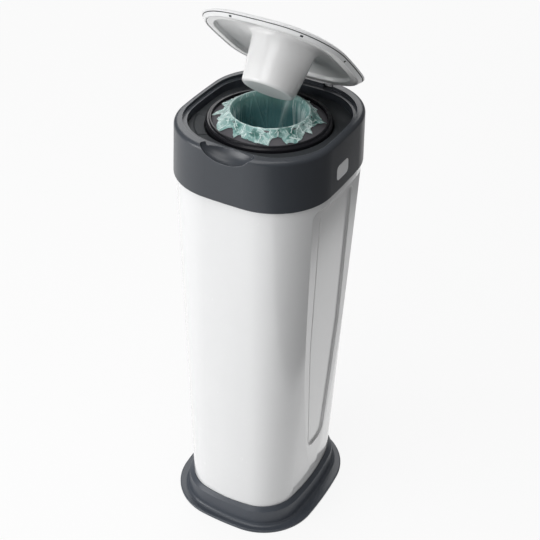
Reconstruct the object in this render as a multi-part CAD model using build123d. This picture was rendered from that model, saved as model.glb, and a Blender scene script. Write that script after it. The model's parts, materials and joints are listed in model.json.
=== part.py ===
from build123d import *
import os
from dataclasses import dataclass
from math import cos, hypot, radians, sin, sqrt

# A tall nappy bin, in millimetres: +Z up, -Y the front with the finger recess,
# +X the side with the release button, +Y the side with the lid's hinge.
# The origin is on the floor under the middle of the bin. The lid stands open.

# ---- heights above the floor ----
FOOT_LIFT = 1.2            # the pads hold the base this far off the floor
FLANGE_T = 3.6             # thickness of the base's flange
WALL_TOP_Z = 31.5          # top of the base's upright wall
SOCKET_Z = 37.0            # line where the sleeve comes out of the base
PAN_Z = 13.0               # top of the raised pan inside the sleeve
JOINT_Z = 577.0            # line between the sleeve and the top unit
NECK_H = 11.0              # height of the sleeve's neck inside the top unit
DECK_Z = 620.0             # top of the deck
LEDGE_Z = 645.0            # ledge that the lid's edge rests on
RIM_Z = 650.0              # top of the collar's rim

# ---- walls, plates and clearances ----
SLEEVE_WALL = 3.0
NECK_WALL = 2.5
COLLAR_WALL = 3.0
MOUTH_WALL = 2.5           # inner wall of the collar
DECK_T = 3.0
CHASSIS_T = 4.0
LID_WALL = 2.0
LINER_WALL = 1.6
LINER_GAP = 0.3            # between the liner's edge and the shell
PLUNGER_WALL = 2.0
FIT = 0.3                  # gap between pieces that seat in each other
RUN = 0.5                  # gap between pieces that move past each other
PLAY = 0.05                # radial play of a pin or a screw in its hole

# ---- side facets of the sleeve ----
FACET_LOW_Z = 50.0         # the facet runs out here
FACET_TOP_Z = 566.0
FACET_DEPTH = 8.3          # depth of the facet at its top
FACET_HALF = 71.0
FACET_ROUND = 14.0
PANEL_TOP = 19.0           # from the facet's top edge down to the inner panel
PANEL_HALF_TOP = 46.0
PANEL_HALF_MID = 43.0
PANEL_HALF_LOW = 22.0
PANEL_LENGTH = 435.0
PANEL_MID = 0.52           # share of the length above the narrowing part
PANEL_DEPTH = 2.4
PANEL_ROUND = 5.0

# ---- throat, turntable and cassette, all round one upright axis ----
THROAT_Y = -3.0
TUB_R = 78.0               # outside of the turntable's tub
TUB_WALL = 2.0
TUB_GAP = 2.0              # from the tub to the bore of the deck's well
WELL_R = TUB_R + TUB_GAP
WELL_WALL = 2.5
RING_R = WELL_R + WELL_WALL + 0.8   # outside of the turntable's ring
RING_SKIRT = 1.8
BEAD_R = TUB_R - 0.5       # crest line of the ring's bead
BEAD_Z = 645.0
TUB_FLOOR_HOLE = 54.0
CASSETTE_WALL = 1.5
CAP_EDGE_Z = 640.5         # top of the cassette cap at its outer edge
CREST_R = 53.6             # crest line of the funnel
CREST_Z = 654.4
CREST_ROUND = 3.2
CAP_SHOULDER = 5.0         # from the crest line out to the cap's shoulder
CAP_SHOULDER_DROP = 7.0    # from the crest down to the shoulder
CAP_SKIRT = 5.0            # height of the cap's outer edge
FUNNEL_LOW_R = 48.5        # bore of the funnel at its lower end
FILM_T = 0.8
FILM_GAP = 0.25
FILM_SKIRT_R = 69.0        # how far the film lies out over the cap
TAIL_R = 11.0              # gathered film below the fingers
KNOT_R = 9.0
KNOT_H = 9.0
FINGER_HOLE_R = 16.0
FINGER_DROP = 14.0
FINGER_T = 1.6
FINGERS = 12
FINGER_GAP = 2.4

# ---- lid ----
LID_OPEN = 42.0            # the lid's angle as it stands
LID_HINGE_Y = 115.0
LID_HINGE_Z = 648.0
LID_BARREL_R = 3.4
LID_PIN_R = 1.5
LUG_X = 28.5
LUG_W = 12.0
EAR_W = 4.0
LID_CENTRE_Y = -0.6
LID_EDGE_H = 6.5           # height of the lid's edge below the dome
EDGE_SLANT = 6.0           # the edge leans in by this much towards its foot
DOME_RISE = 13.0
BAND_W = 18.0              # flat band round the lid's underside
RECESS_LEAN = 0.85         # the recess narrows by this much for each mm of depth
SNAP_L = 4.0               # snap slots in the band
SNAP_W = 1.2
SNAP_INSET = 8.6
SNAP_TURNS = (-152, -113, -57, -24, 57, 113)      # degrees round the lid
PLUNGER_TOP_R = 42.6
PLUNGER_LOW_R = 36.2
PLUNGER_DEPTH = 60.0       # below the lid's edge line
PLUNGER_ROUND = 5.0
PLUNGER_FLARE = 4.5        # the plunger's root spreads by this much
FLARE_H = 9.0              # height of the plunger's root above the lid's edge

# ---- tilt hinge of the top unit, on the left side ----
TILT_BARREL_R = 4.2
TILT_PIN_R = 1.6
TILT_OFFSET = 0.6          # from the collar's side out to the hinge's axis
KNUCKLE_W = 20.0
BUTTRESS_H = 20.0

# ---- release button on the right side ----
BUTTON_Y = -9.0
BUTTON_Z = 603.0
BUTTON_W = 32.0
BUTTON_H = 21.0
BUTTON_ROUND = 6.0
BUTTON_TRAVEL = 4.0
BUTTON_GAP = 0.4
FLANGE_LAP = 2.0           # the button's flange reaches this far behind the collar
BRACKET_T = 2.5
STEM_R = 2.6
SPRING_R = 4.4
SPRING_WIRE = 0.9
SPRING_TURNS = 5
LATCH_W = 14.0
LATCH_T = 3.0
WINDOW_H = 5.0             # height of the latch's window in the neck

# ---- film cutter under the chassis ----
RAIL_Y = 82.0
RAIL_L = 132.0
RAIL_W = 16.0
RAIL_H = 10.0
RAIL_END = 9.0             # solid end of the rail, with its screw
SLIDE_L = 16.0
CUT_TRAVEL = RAIL_L - 2 * RAIL_END - SLIDE_L - 2.0
BLADE_T = 0.6

# ---- fasteners and feet ----
SCREW_R = 1.5
SCREW_HEAD_R = 3.0
SCREW_HEAD_H = 1.8
BOSS_R = 4.5
PAD_R = 8.0
PAD_H = 2.4
PAD_MARGIN = 4.0           # from the pads to the edge of the flange
BASE_FILLET = 5.0          # between the flange and the base's wall


@dataclass(frozen=True)
class Outline:
    """A rounded rectangle with bowed sides, made of eight tangent arcs."""

    half_x: float
    half_y: float
    corner: float
    side_r: float
    front_r: float

    def grown(self, by):
        """The parallel outline at a distance, outwards when positive."""
        sizes = (self.half_x, self.half_y, self.corner, self.side_r, self.front_r)
        return Outline(*(size + by for size in sizes))

    def corner_centre(self):
        """Centre of the corner arc in the quadrant where x and y are positive."""
        side_x = self.half_x - self.side_r
        front_y = self.half_y - self.front_r
        from_side = self.side_r - self.corner
        from_front = self.front_r - self.corner
        span = hypot(side_x, front_y)
        along = (from_side**2 - from_front**2 + span**2) / (2 * span)
        off = sqrt(from_side**2 - along**2)
        ux, uy = -side_x / span, front_y / span
        return Vector(side_x + ux * along - uy * off, uy * along + ux * off)

    def wire(self, z):
        """The closed outline at height z."""
        centre = self.corner_centre()
        side = Vector(self.half_x - self.side_r, 0)
        front = Vector(0, self.half_y - self.front_r)
        to_side = (centre - side).normalized()
        to_front = (centre - front).normalized()
        p = side + to_side * self.side_r
        m = centre + (to_side + to_front).normalized() * self.corner
        q = front + to_front * self.front_r
        arcs = [
            ((p.X, -p.Y), (self.half_x, 0), (p.X, p.Y)),
            ((p.X, p.Y), (m.X, m.Y), (q.X, q.Y)),
            ((q.X, q.Y), (0, self.half_y), (-q.X, q.Y)),
            ((-q.X, q.Y), (-m.X, m.Y), (-p.X, p.Y)),
            ((-p.X, p.Y), (-self.half_x, 0), (-p.X, -p.Y)),
            ((-p.X, -p.Y), (-m.X, -m.Y), (-q.X, -q.Y)),
            ((-q.X, -q.Y), (0, -self.half_y), (q.X, -q.Y)),
            ((q.X, -q.Y), (m.X, -m.Y), (p.X, -p.Y)),
        ]
        edges = [ThreePointArc(*((x, y, z) for x, y in arc)) for arc in arcs]
        return Wire(edges)


def bowed(half_x, half_y, corner, bow):
    """An outline from its half sizes, corner radius and the rise of its sides."""
    reach_y = half_y - 0.3 * corner
    reach_x = half_x - 0.3 * corner
    side_r = (reach_y**2 + bow**2) / (2 * bow)
    front_r = (reach_x**2 + bow**2) / (2 * bow)
    return Outline(half_x, half_y, corner, side_r, front_r)


def blend(low, high, t):
    """The outline at fraction t of the way from low to high."""
    pairs = zip(
        (low.half_x, low.half_y, low.corner, low.side_r, low.front_r),
        (high.half_x, high.half_y, high.corner, high.side_r, high.front_r),
    )
    return Outline(*(a + (b - a) * t for a, b in pairs))


# ---- outlines ----
BASE_EDGE = bowed(113.8, 128.0, 86.4, 8.9)
BASE_WALL_LOW = bowed(98.0, 117.0, 66.0, 10.5)
BASE_WALL_TOP = bowed(96.0, 115.0, 64.5, 10.5)
SLEEVE_FOOT = bowed(89.5, 109.0, 58.5, 10.5)      # at SOCKET_Z
SLEEVE_TOP = bowed(111.0, 117.0, 80.0, 3.6)       # at JOINT_Z
COLLAR_FOOT = bowed(112.3, 123.4, 85.0, 4.6)      # at JOINT_Z
COLLAR_RIM = bowed(110.4, 122.6, 85.0, 4.6)       # at RIM_Z
MOUTH = bowed(98.0, 100.0, 70.0, 5.0)
LID_EDGE = bowed(102.0, 108.6, 77.0, 6.4)
NECK_INSET = 4.0
RIM_ROUND = 5.5

# ---- finger recess in the front of the collar ----
BOWL_X = 38.5              # half length along X
BOWL_Y = 14.0
BOWL_Z = 22.0
BOWL_OFF = 1.5             # its middle lies this far to the right
BOWL_IN = 7.5              # and this far in from the collar's front
BOWL_WALL = 2.5
LEDGE_SLOTS = ((-8.0, -102.3), (8.0, -102.3))     # small slots behind the recess
SLOT_L = 3.5

# ---- heights that follow from those above ----
FLANGE_Z = FOOT_LIFT + FLANGE_T
NECK_Z = JOINT_Z + NECK_H
CHASSIS_Z = NECK_Z + FIT
CHASSIS_TOP_Z = CHASSIS_Z + CHASSIS_T
TUB_Z = CHASSIS_TOP_Z + RUN
CASSETTE_Z = TUB_Z + TUB_WALL
DECK_LOW_Z = DECK_Z - DECK_T
LID_LOW_Z = LEDGE_Z + FIT
LID_TOP_Z = LID_LOW_Z + LID_EDGE_H
PLUNGER_Z = LID_TOP_Z - PLUNGER_DEPTH
NECK = SLEEVE_TOP.grown(-NECK_INSET)
TILT_X = -(COLLAR_FOOT.half_x + TILT_OFFSET)
BRACKET_X = WELL_R + WELL_WALL + BUTTON_TRAVEL + 1.0
THROAT = Pos(0, THROAT_Y, 0)


def slab(outline, low, high):
    """An upright block with the given outline."""
    return extrude(Face(outline.wire(low)), high - low, dir=(0, 0, 1))


def taper(low_outline, low, high_outline, high):
    """A block that changes evenly from one outline to another."""
    return loft([Face(low_outline.wire(low)), Face(high_outline.wire(high))], ruled=True)


def turned(points, rounds=()):
    """A solid of revolution round Z from (radius, height) points.

    Args:
        points: the corners of the profile, in order.
        rounds: (index, radius) of each corner that is rounded.
    """
    profile = make_face(Polyline(*points, close=True))
    for index, radius in rounds:
        spot = Vector(*points[index])
        corner = min(profile.vertices(), key=lambda v: (v.center() - spot).length)
        profile = fillet(corner, radius)
    return revolve(Plane.XZ * profile, Axis.Z)


def block(x0, x1, y0, y1, z0, z1):
    """A box between two corners."""
    size = (x1 - x0, y1 - y0, z1 - z0)
    centre = ((x0 + x1) / 2, (y0 + y1) / 2, (z0 + z1) / 2)
    return Pos(*centre) * Box(*size)


def rod(radius, low, high, x=0.0, y=0.0):
    """An upright cylinder."""
    return Pos(x, y, (low + high) / 2) * Cylinder(radius, high - low)


def rod_x(radius, x0, x1, y, z):
    """A cylinder along X."""
    return Pos((x0 + x1) / 2, y, z) * Rot(Y=90) * Cylinder(radius, x1 - x0)


def rod_y(radius, y0, y1, x, z):
    """A cylinder along Y."""
    return Pos(x, (y0 + y1) / 2, z) * Rot(X=90) * Cylinder(radius, y1 - y0)


def corner_spots(outline, inset):
    """The four points on an outline's corner diagonals, inset from its edge."""
    centre = outline.corner_centre()
    reach = (outline.corner - inset) * cos(radians(45))
    x, y = centre.X + reach, centre.Y + reach
    return [(sx * x, sy * y) for sx in (-1, 1) for sy in (-1, 1)]


def screw(x, y, seat, tip, up=True):
    """A pan-head screw whose head bears on the plane at height seat."""
    sign = 1 if up else -1
    head = sorted((seat, seat - sign * SCREW_HEAD_H))
    shank = sorted((seat, tip))
    body = rod(SCREW_HEAD_R, *head, x, y) + rod(SCREW_R, *shank, x, y)
    return body


# ---------------------------------------------------------------- the bin
def sleeve_at(z):
    """The sleeve's outline at a height, from the even taper of its sides."""
    return blend(SLEEVE_FOOT, SLEEVE_TOP, (z - SOCKET_Z) / (JOINT_Z - SOCKET_Z))


def sleeve_block(grow, high=JOINT_Z):
    """The tapered block inside the sleeve's outer faces, grown by a distance."""
    return taper(sleeve_at(FLANGE_Z).grown(grow), FLANGE_Z, sleeve_at(high).grown(grow), high)


def facet_plane(side):
    """The sloping plane of a side facet, its origin on the facet's top edge."""
    top_x = sleeve_at(FACET_TOP_Z).half_x - FACET_DEPTH
    low_x = sleeve_at(FACET_LOW_Z).half_x
    rise = Vector(side * (top_x - low_x), 0, FACET_TOP_Z - FACET_LOW_Z).normalized()
    normal = Vector(side * rise.Z, 0, -abs(rise.X))
    return Plane(origin=(side * top_x, 0, FACET_TOP_Z), x_dir=(0, side, 0), z_dir=normal)


def facet_cutter(side, grow):
    """What a side facet and its inner panel take away, grown by a wall."""
    length = FACET_TOP_Z
    half = FACET_HALF + grow
    facet = Pos(0, grow - length / 2) * RectangleRounded(2 * half, length, FACET_ROUND + grow)
    mid_y = -PANEL_TOP - PANEL_LENGTH * PANEL_MID
    low_y = -PANEL_TOP - PANEL_LENGTH
    inner = make_face(Polyline(
        (-PANEL_HALF_TOP, -PANEL_TOP), (PANEL_HALF_TOP, -PANEL_TOP), (PANEL_HALF_MID, mid_y),
        (PANEL_HALF_LOW, low_y), (-PANEL_HALF_LOW, low_y), (-PANEL_HALF_MID, mid_y),
        close=True,
    ))
    corners = inner.vertices().sort_by(Axis.Y)
    inner = fillet(corners[4:], PANEL_ROUND)
    inner = fillet(inner.vertices().sort_by(Axis.Y)[2:4], PANEL_LENGTH / 2)
    inner = fillet(inner.vertices().sort_by(Axis.Y)[:2], PANEL_HALF_LOW * 0.9)
    if grow:
        inner = offset(inner, amount=grow)
    plane = facet_plane(side)
    outside = extrude(plane.offset(-grow) * facet, 40.0)
    pocket = extrude(plane.offset(-grow - PANEL_DEPTH) * inner, PANEL_DEPTH + 1.0, taper=-25)
    return outside + pocket


def body_shell():
    """The white sleeve with its two side facets, neck and screw bosses."""
    outer = sleeve_block(0)
    inner = sleeve_block(-SLEEVE_WALL) - slab(SLEEVE_TOP, JOINT_Z - SLEEVE_WALL, JOINT_Z + 1)
    for side in (-1, 1):
        outer -= facet_cutter(side, 0)
        inner -= facet_cutter(side, SLEEVE_WALL)
    shell = outer - inner
    shell += slab(NECK, JOINT_Z - SLEEVE_WALL, NECK_Z)
    shell -= slab(NECK.grown(-NECK_WALL), JOINT_Z - SLEEVE_WALL - 1, NECK_Z + 1)
    for x, y in corner_spots(sleeve_at(FLANGE_Z), SLEEVE_WALL / 2 + BOSS_R):
        shell += rod(BOSS_R, FLANGE_Z, FLANGE_Z + 16, x, y)
        shell -= rod(SCREW_R + PLAY, FLANGE_Z - 1, FLANGE_Z + 13, x, y)
    window_z = JOINT_Z + NECK_H / 2
    half = LATCH_W / 2 + 1
    neck_x = NECK.half_x
    shell -= block(neck_x - 6, neck_x + 2, BUTTON_Y - half, BUTTON_Y + half,
                   window_z - WINDOW_H / 2, window_z + WINDOW_H / 2)
    shell += body_knuckle()
    for side in (-1, 1):
        y = side * KNUCKLE_W
        shell -= rod_y(TILT_BARREL_R + RUN, y - KNUCKLE_W / 2 - RUN, y + KNUCKLE_W / 2 + RUN,
                       TILT_X, JOINT_Z)
    shell -= rod_y(TILT_PIN_R + PLAY, -2 * KNUCKLE_W, 2 * KNUCKLE_W, TILT_X, JOINT_Z)
    return shell


def body_knuckle():
    """The hinge barrel on the sleeve with the buttress under it."""
    half = KNUCKLE_W / 2
    barrel = rod_y(TILT_BARREL_R, -half, half, TILT_X, JOINT_Z)
    wall_x = -SLEEVE_TOP.half_x + SLEEVE_WALL / 2
    low_x = -sleeve_at(JOINT_Z - BUTTRESS_H).half_x + SLEEVE_WALL / 2
    profile = make_face(Polyline(
        (TILT_X - TILT_BARREL_R, JOINT_Z),
        (wall_x, JOINT_Z),
        (low_x, JOINT_Z - BUTTRESS_H),
        close=True,
    ))
    return barrel + extrude(Plane.XZ * profile, half, both=True)


def is_on(edge, outline):
    """Whether a level edge lies on an outline rather than far outside it."""
    size = edge.bounding_box()
    return max(abs(size.min.X), abs(size.max.X)) < outline.half_x + 1 and (
        max(abs(size.min.Y), abs(size.max.Y)) < outline.half_y + 1
    )


def base():
    """The foot: flange, bevelled socket wall and raised pan."""
    body = slab(BASE_EDGE, FOOT_LIFT, FLANGE_Z)
    body = fillet(body.edges().group_by(Axis.Z)[-1], FLANGE_T * 0.45)
    body += taper(BASE_WALL_LOW, FLANGE_Z, BASE_WALL_TOP, WALL_TOP_Z)
    root = body.edges().filter_by(lambda e: abs(e.center().Z - FLANGE_Z) < 1e-3)
    body = fillet(root.filter_by(lambda e: is_on(e, BASE_WALL_LOW)), BASE_FILLET)
    lip = sleeve_at(SOCKET_Z).grown(FIT + 0.6)
    body += taper(BASE_WALL_TOP, WALL_TOP_Z, lip, SOCKET_Z)
    body -= sleeve_block(FIT)
    pan = sleeve_at(FLANGE_Z).grown(-SLEEVE_WALL - 2 * BOSS_R - FIT)
    body += slab(pan, FOOT_LIFT, PAN_Z)
    body -= slab(pan.grown(-3), FOOT_LIFT - 1, PAN_Z - 3)
    for x, y in pad_spots():
        body -= rod(PAD_R + FIT, FOOT_LIFT - 1, PAD_H, x, y)
    for x, y in corner_spots(sleeve_at(FLANGE_Z), SLEEVE_WALL / 2 + BOSS_R):
        body -= rod(SCREW_R + PLAY, FOOT_LIFT - 1, FLANGE_Z + 1, x, y)
        body -= rod(SCREW_HEAD_R + FIT, FOOT_LIFT - 1, FOOT_LIFT + SCREW_HEAD_H + 0.2, x, y)
    reach_x, reach_y = pan.half_x - 2, pan.half_y - 2
    for x in (-reach_x / 2, 0, reach_x / 2):
        body += block(x - 1.2, x + 1.2, -reach_y * 0.8, reach_y * 0.8, FOOT_LIFT, PAN_Z - 2)
    for y in (-reach_y / 2, 0, reach_y / 2):
        body += block(-reach_x * 0.8, reach_x * 0.8, y - 1.2, y + 1.2, FOOT_LIFT, PAN_Z - 2)
    return body


def pad_spots():
    """Centres of the four pads, under the corners of the flange."""
    return corner_spots(BASE_EDGE, PAD_R + PAD_MARGIN)


def feet():
    """Four rubber pads in the base's corners."""
    return [rod(PAD_R, 0, PAD_H, x, y) for x, y in pad_spots()]


def base_screws():
    """Four screws up through the base into the sleeve's bosses."""
    spots = corner_spots(sleeve_at(FLANGE_Z), SLEEVE_WALL / 2 + BOSS_R)
    seat = FOOT_LIFT + SCREW_HEAD_H + 0.2
    return [screw(x, y, seat, FLANGE_Z + 11) for x, y in spots]


def tilt_pin():
    """The steel pin of the top unit's hinge."""
    half = 1.5 * KNUCKLE_W
    return rod_y(TILT_PIN_R, -half, half, TILT_X, JOINT_Z)


# ----------------------------------------------------------- the top unit
def frame_spots():
    """Where the four long screws hold the chassis, deck and collar together."""
    return corner_spots(COLLAR_RIM, COLLAR_WALL + 2 * FIT + BOSS_R)


def collar_inner(low, high):
    """The block inside the collar's skirt, between two heights."""
    whole = taper(COLLAR_FOOT.grown(-COLLAR_WALL), JOINT_Z, COLLAR_RIM.grown(-COLLAR_WALL), RIM_Z)
    return whole & block(-200, 200, -200, 200, low, high)


def collar_plate(low, high):
    """A plate that fits inside the collar's skirt."""
    skirt_t = (low - JOINT_Z) / (RIM_Z - JOINT_Z)
    outline = blend(COLLAR_FOOT, COLLAR_RIM, skirt_t).grown(-COLLAR_WALL - FIT)
    return slab(outline, low, high)


def finger_bowl(grow):
    """The bowl of the finger recess, grown by a wall."""
    bowl = scale(Sphere(1.0), by=(BOWL_X + grow, BOWL_Y + grow, BOWL_Z + grow))
    return Pos(BOWL_OFF, BOWL_IN - COLLAR_RIM.half_y, RIM_Z + 2) * bowl


def button_prism(grow, x0, x1):
    """A prism along X with the release button's outline."""
    face = RectangleRounded(BUTTON_W + 2 * grow, BUTTON_H + 2 * grow, BUTTON_ROUND + grow)
    plane = Plane(origin=(x0, BUTTON_Y, BUTTON_Z), x_dir=(0, 1, 0), z_dir=(1, 0, 0))
    return extrude(plane * face, x1 - x0)


def lug_slot(x):
    """Room for one of the lid's hinge lugs in the collar's rim."""
    half = LUG_W / 2 + RUN
    radius = LID_BARREL_R + RUN
    hole = rod_x(radius, x - half, x + half, LID_HINGE_Y, LID_HINGE_Z)
    mouth = block(x - half, x + half, LID_CENTRE_Y + LID_EDGE.half_y - 6, LID_HINGE_Y,
                  LID_HINGE_Z - radius, RIM_Z + 9)
    top = block(x - half, x + half, LID_HINGE_Y, LID_HINGE_Y + radius, LID_HINGE_Z, RIM_Z + 9)
    return hole + mouth + top


def collar():
    """The dark collar: skirt, rim, ledge, inner wall and finger recess."""
    body = taper(COLLAR_FOOT, JOINT_Z + FIT, COLLAR_RIM, RIM_Z)
    body = fillet(body.edges().group_by(Axis.Z)[-1], RIM_ROUND)
    whole = body
    hollow = collar_inner(JOINT_Z - 1, LEDGE_Z - COLLAR_WALL)
    hollow -= slab(MOUTH.grown(MOUTH_WALL), DECK_Z, LEDGE_Z)
    body -= hollow
    body -= slab(MOUTH, JOINT_Z - 1, RIM_Z + 1)
    body += finger_bowl(BOWL_WALL) & whole
    body -= Pos(0, LID_CENTRE_Y, 0) * slab(LID_EDGE.grown(2 * FIT), LEDGE_Z, RIM_Z + 1)
    body -= finger_bowl(0)
    for x, y in LEDGE_SLOTS:
        body -= block(x - SLOT_L / 2, x + SLOT_L / 2, y - 0.6, y + 0.6, LEDGE_Z - 1.2, RIM_Z)
    body -= button_prism(BUTTON_GAP, COLLAR_RIM.half_x - 15, COLLAR_FOOT.half_x + 5)
    for x, y in frame_spots():
        body += rod(BOSS_R, DECK_Z, LEDGE_Z - 1, x, y)
        body -= rod(SCREW_R + PLAY, DECK_Z - 1, DECK_Z + 14, x, y)
    for side in (-1, 1):
        body -= lug_slot(side * LUG_X)
        for end in (-1, 1):
            inner = side * LUG_X + end * (LUG_W / 2 + RUN)
            outer = inner + end * EAR_W
            body += rod_x(LID_BARREL_R, *sorted((inner, outer)), LID_HINGE_Y, LID_HINGE_Z)
        length = LUG_W / 2 + RUN + EAR_W
        body -= rod_x(LID_PIN_R + PLAY, side * LUG_X - length, side * LUG_X + length,
                      LID_HINGE_Y, LID_HINGE_Z)
    half = KNUCKLE_W / 2
    body -= rod_y(TILT_BARREL_R + RUN, -half - RUN, half + RUN, TILT_X, JOINT_Z)
    for side in (-1, 1):
        y = side * KNUCKLE_W
        body += rod_y(TILT_BARREL_R, y - half + RUN, y + half, TILT_X, JOINT_Z)
    body -= rod_y(TILT_PIN_R + PLAY, -2 * KNUCKLE_W, 2 * KNUCKLE_W, TILT_X, JOINT_Z)
    return body


def lid_pins():
    """The two steel pins of the lid's hinge."""
    half = LUG_W / 2 + RUN + EAR_W
    return [rod_x(LID_PIN_R, x - half, x + half, LID_HINGE_Y, LID_HINGE_Z)
            for x in (-LUG_X, LUG_X)]


def deck():
    """The dark deck inside the collar with the turntable's well."""
    body = collar_plate(DECK_LOW_Z, DECK_Z)
    body += THROAT * rod(WELL_R + WELL_WALL, CHASSIS_TOP_Z, DECK_Z)
    body -= THROAT * rod(WELL_R, CHASSIS_TOP_Z - 1, DECK_Z + 1)
    for x, y in frame_spots():
        body -= rod(SCREW_R + PLAY, DECK_LOW_Z - 1, DECK_Z + 1, x, y)
    body += crescent()
    return body


def crescent():
    """A raised crescent on the deck, left of the turntable."""
    ring = THROAT * (rod(100.0, DECK_Z - 1, DECK_Z + 1.4) - rod(88.0, DECK_Z - 2, DECK_Z + 2))
    wedge = make_face(Polyline(
        (0, THROAT_Y),
        *((130 * cos(radians(a)), THROAT_Y + 130 * sin(radians(a))) for a in (188, 217)),
        close=True,
    ))
    inside = slab(MOUTH.grown(-1), DECK_Z - 1, DECK_Z + 2)
    return ring & extrude(Pos(0, 0, DECK_Z - 2) * wedge, 6) & inside


def chassis():
    """The lower plate of the top unit, with posts up to the deck."""
    body = collar_plate(CHASSIS_Z, CHASSIS_TOP_Z)
    body -= THROAT * rod(TUB_FLOOR_HOLE + 4, CHASSIS_Z - 1, CHASSIS_TOP_Z + 1)
    for x, y in frame_spots():
        body += rod(BOSS_R, CHASSIS_TOP_Z, DECK_LOW_Z, x, y)
        body -= rod(SCREW_R + PLAY, CHASSIS_Z - 1, DECK_LOW_Z + 1, x, y)
        body -= rod(SCREW_HEAD_R + FIT, CHASSIS_Z - 1, CHASSIS_Z + SCREW_HEAD_H + 0.2, x, y)
    half = LATCH_W / 2 + 2
    x1 = NECK.half_x - NECK_WALL
    body -= block(x1 - BUTTON_TRAVEL - LATCH_T - 4, x1 + 1, BUTTON_Y - half, BUTTON_Y + half,
                  CHASSIS_Z - 1, CHASSIS_TOP_Z + 1)
    body += button_bracket()
    for x, y in grip_spots():
        body -= rod(SCREW_R + PLAY, CHASSIS_Z - 1, CHASSIS_TOP_Z - 0.6, x, y)
    for x in rail_screw_xs():
        body -= rod(SCREW_R + PLAY, CHASSIS_Z - 1, CHASSIS_TOP_Z - 0.6, x, RAIL_Y)
    return body


def button_bracket():
    """The upright on the chassis that carries the button's spring."""
    x0, x1 = BRACKET_X, BRACKET_X + BRACKET_T
    plate = block(x0, x1, BUTTON_Y - 11, BUTTON_Y + 11, CHASSIS_TOP_Z, DECK_LOW_Z - FIT)
    return plate - rod_x(STEM_R + RUN, x0 - 1, x1 + 1, BUTTON_Y, BUTTON_Z)


def frame_screws():
    """Four long screws through chassis, posts and deck into the collar."""
    seat = CHASSIS_Z + SCREW_HEAD_H + 0.2
    return [screw(x, y, seat, DECK_Z + 12) for x, y in frame_spots()]


def grip_spots():
    """Where the four short screws hold the finger ring."""
    radius = TUB_FLOOR_HOLE + 9
    angles = (45, 135, 225, 315)
    return [(radius * cos(radians(a)), THROAT_Y + radius * sin(radians(a))) for a in angles]


def finger_ring():
    """The ring of springy fingers that closes round the film."""
    outer = TUB_FLOOR_HOLE + 14
    top = CHASSIS_Z
    tip = top - FINGER_T - FINGER_DROP
    ring = turned(
        [
            (outer, top), (TUB_FLOOR_HOLE - 1, top), (FINGER_HOLE_R, tip + FINGER_T),
            (FINGER_HOLE_R, tip), (TUB_FLOOR_HOLE - 1, top - FINGER_T - 0.8),
            (outer, top - FINGER_T - 0.8),
        ]
    )
    gap = block(0, TUB_FLOOR_HOLE - 5, -FINGER_GAP / 2, FINGER_GAP / 2, tip - 2, top + 1)
    for index in range(FINGERS):
        ring -= Rot(Z=360 / FINGERS * index) * gap
    ring = THROAT * ring
    for x, y in grip_spots():
        ring -= rod(SCREW_R + PLAY, top - 6, top + 1, x, y)
    return ring


def grip_screws():
    """Four short screws that hold the finger ring under the chassis."""
    seat = CHASSIS_Z - FINGER_T - 0.8
    return [screw(x, y, seat, CHASSIS_TOP_Z - 1) for x, y in grip_spots()]


def rail_screw_xs():
    """Places along X of the cutter rail's two screws."""
    reach = (RAIL_L - RAIL_END) / 2
    return (-reach, reach)


def cutter_rail():
    """The rail of the film cutter, with a film slot beside its channel."""
    top = CHASSIS_Z
    half = RAIL_L / 2
    body = block(-half, half, RAIL_Y - RAIL_W / 2, RAIL_Y + RAIL_W / 2, top - RAIL_H, top)
    run = half - RAIL_END
    body -= block(-run, run, RAIL_Y - 4, RAIL_Y + 4, top - RAIL_H + 2, top - 2)
    body -= block(-run, run, RAIL_Y - 2, RAIL_Y + 2, top - RAIL_H - 1, top - RAIL_H + 3)
    body -= block(-run, run, RAIL_Y - 7, RAIL_Y - 5, top - RAIL_H - 1, top - 3)
    body -= block(-run, run, RAIL_Y - 6, RAIL_Y, top - 6.2, top - 4.8)
    for x in rail_screw_xs():
        body -= rod(SCREW_R + PLAY, top - RAIL_H - 1, top + 1, x, RAIL_Y)
        body -= rod(SCREW_HEAD_R + FIT, top - RAIL_H - 1, top - RAIL_H + 2, x, RAIL_Y)
    return body


def cutter_screws():
    """Two screws that hold the cutter's rail under the chassis."""
    return [screw(x, RAIL_Y, CHASSIS_Z - RAIL_H + 2, CHASSIS_TOP_Z - 1) for x in rail_screw_xs()]


# --------------------------------------------------------------- cutter
def cutter_slide():
    """The slide of the film cutter with its thumb grip."""
    top = CHASSIS_Z
    x0 = -CUT_TRAVEL / 2 - SLIDE_L / 2
    x1 = x0 + SLIDE_L
    body = block(x0, x1, RAIL_Y - 4 + FIT, RAIL_Y + 4 - FIT, top - RAIL_H + 2 + FIT, top - 2 - FIT)
    body += block(x0, x1, RAIL_Y - 2 + FIT, RAIL_Y + 2 - FIT, top - RAIL_H - 1, top - RAIL_H + 3)
    grip = block(x0, x1, RAIL_Y - 5, RAIL_Y + 5, top - RAIL_H - 5, top - RAIL_H - RUN)
    grip = fillet(grip.edges().filter_by(Axis.Y), 1.6)
    body += grip
    body -= block(x0 + 3, x1 - 3, RAIL_Y - 4, RAIL_Y + 1, top - 6.2 + 0.4, top - 4.8 - 0.4)
    return body


def cutter_blade():
    """The steel blade that reaches from the slide across the film slot."""
    x0 = -CUT_TRAVEL / 2 - SLIDE_L / 2 + 3
    x1 = x0 + SLIDE_L - 6
    mid = CHASSIS_Z - 5.5
    outline = make_face(Polyline(
        (x0, RAIL_Y + 1), (x0, RAIL_Y - 4.5), (x0 + 3, RAIL_Y - 6), (x1, RAIL_Y - 4.5),
        (x1, RAIL_Y + 1), close=True,
    ))
    return extrude(Pos(0, 0, mid - BLADE_T / 2) * outline, BLADE_T)


# -------------------------------------------------------- release button
def button_skin():
    """The block inside the collar's outer faces, for the button's face."""
    return taper(COLLAR_FOOT, JOINT_Z, COLLAR_RIM, RIM_Z)


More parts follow.
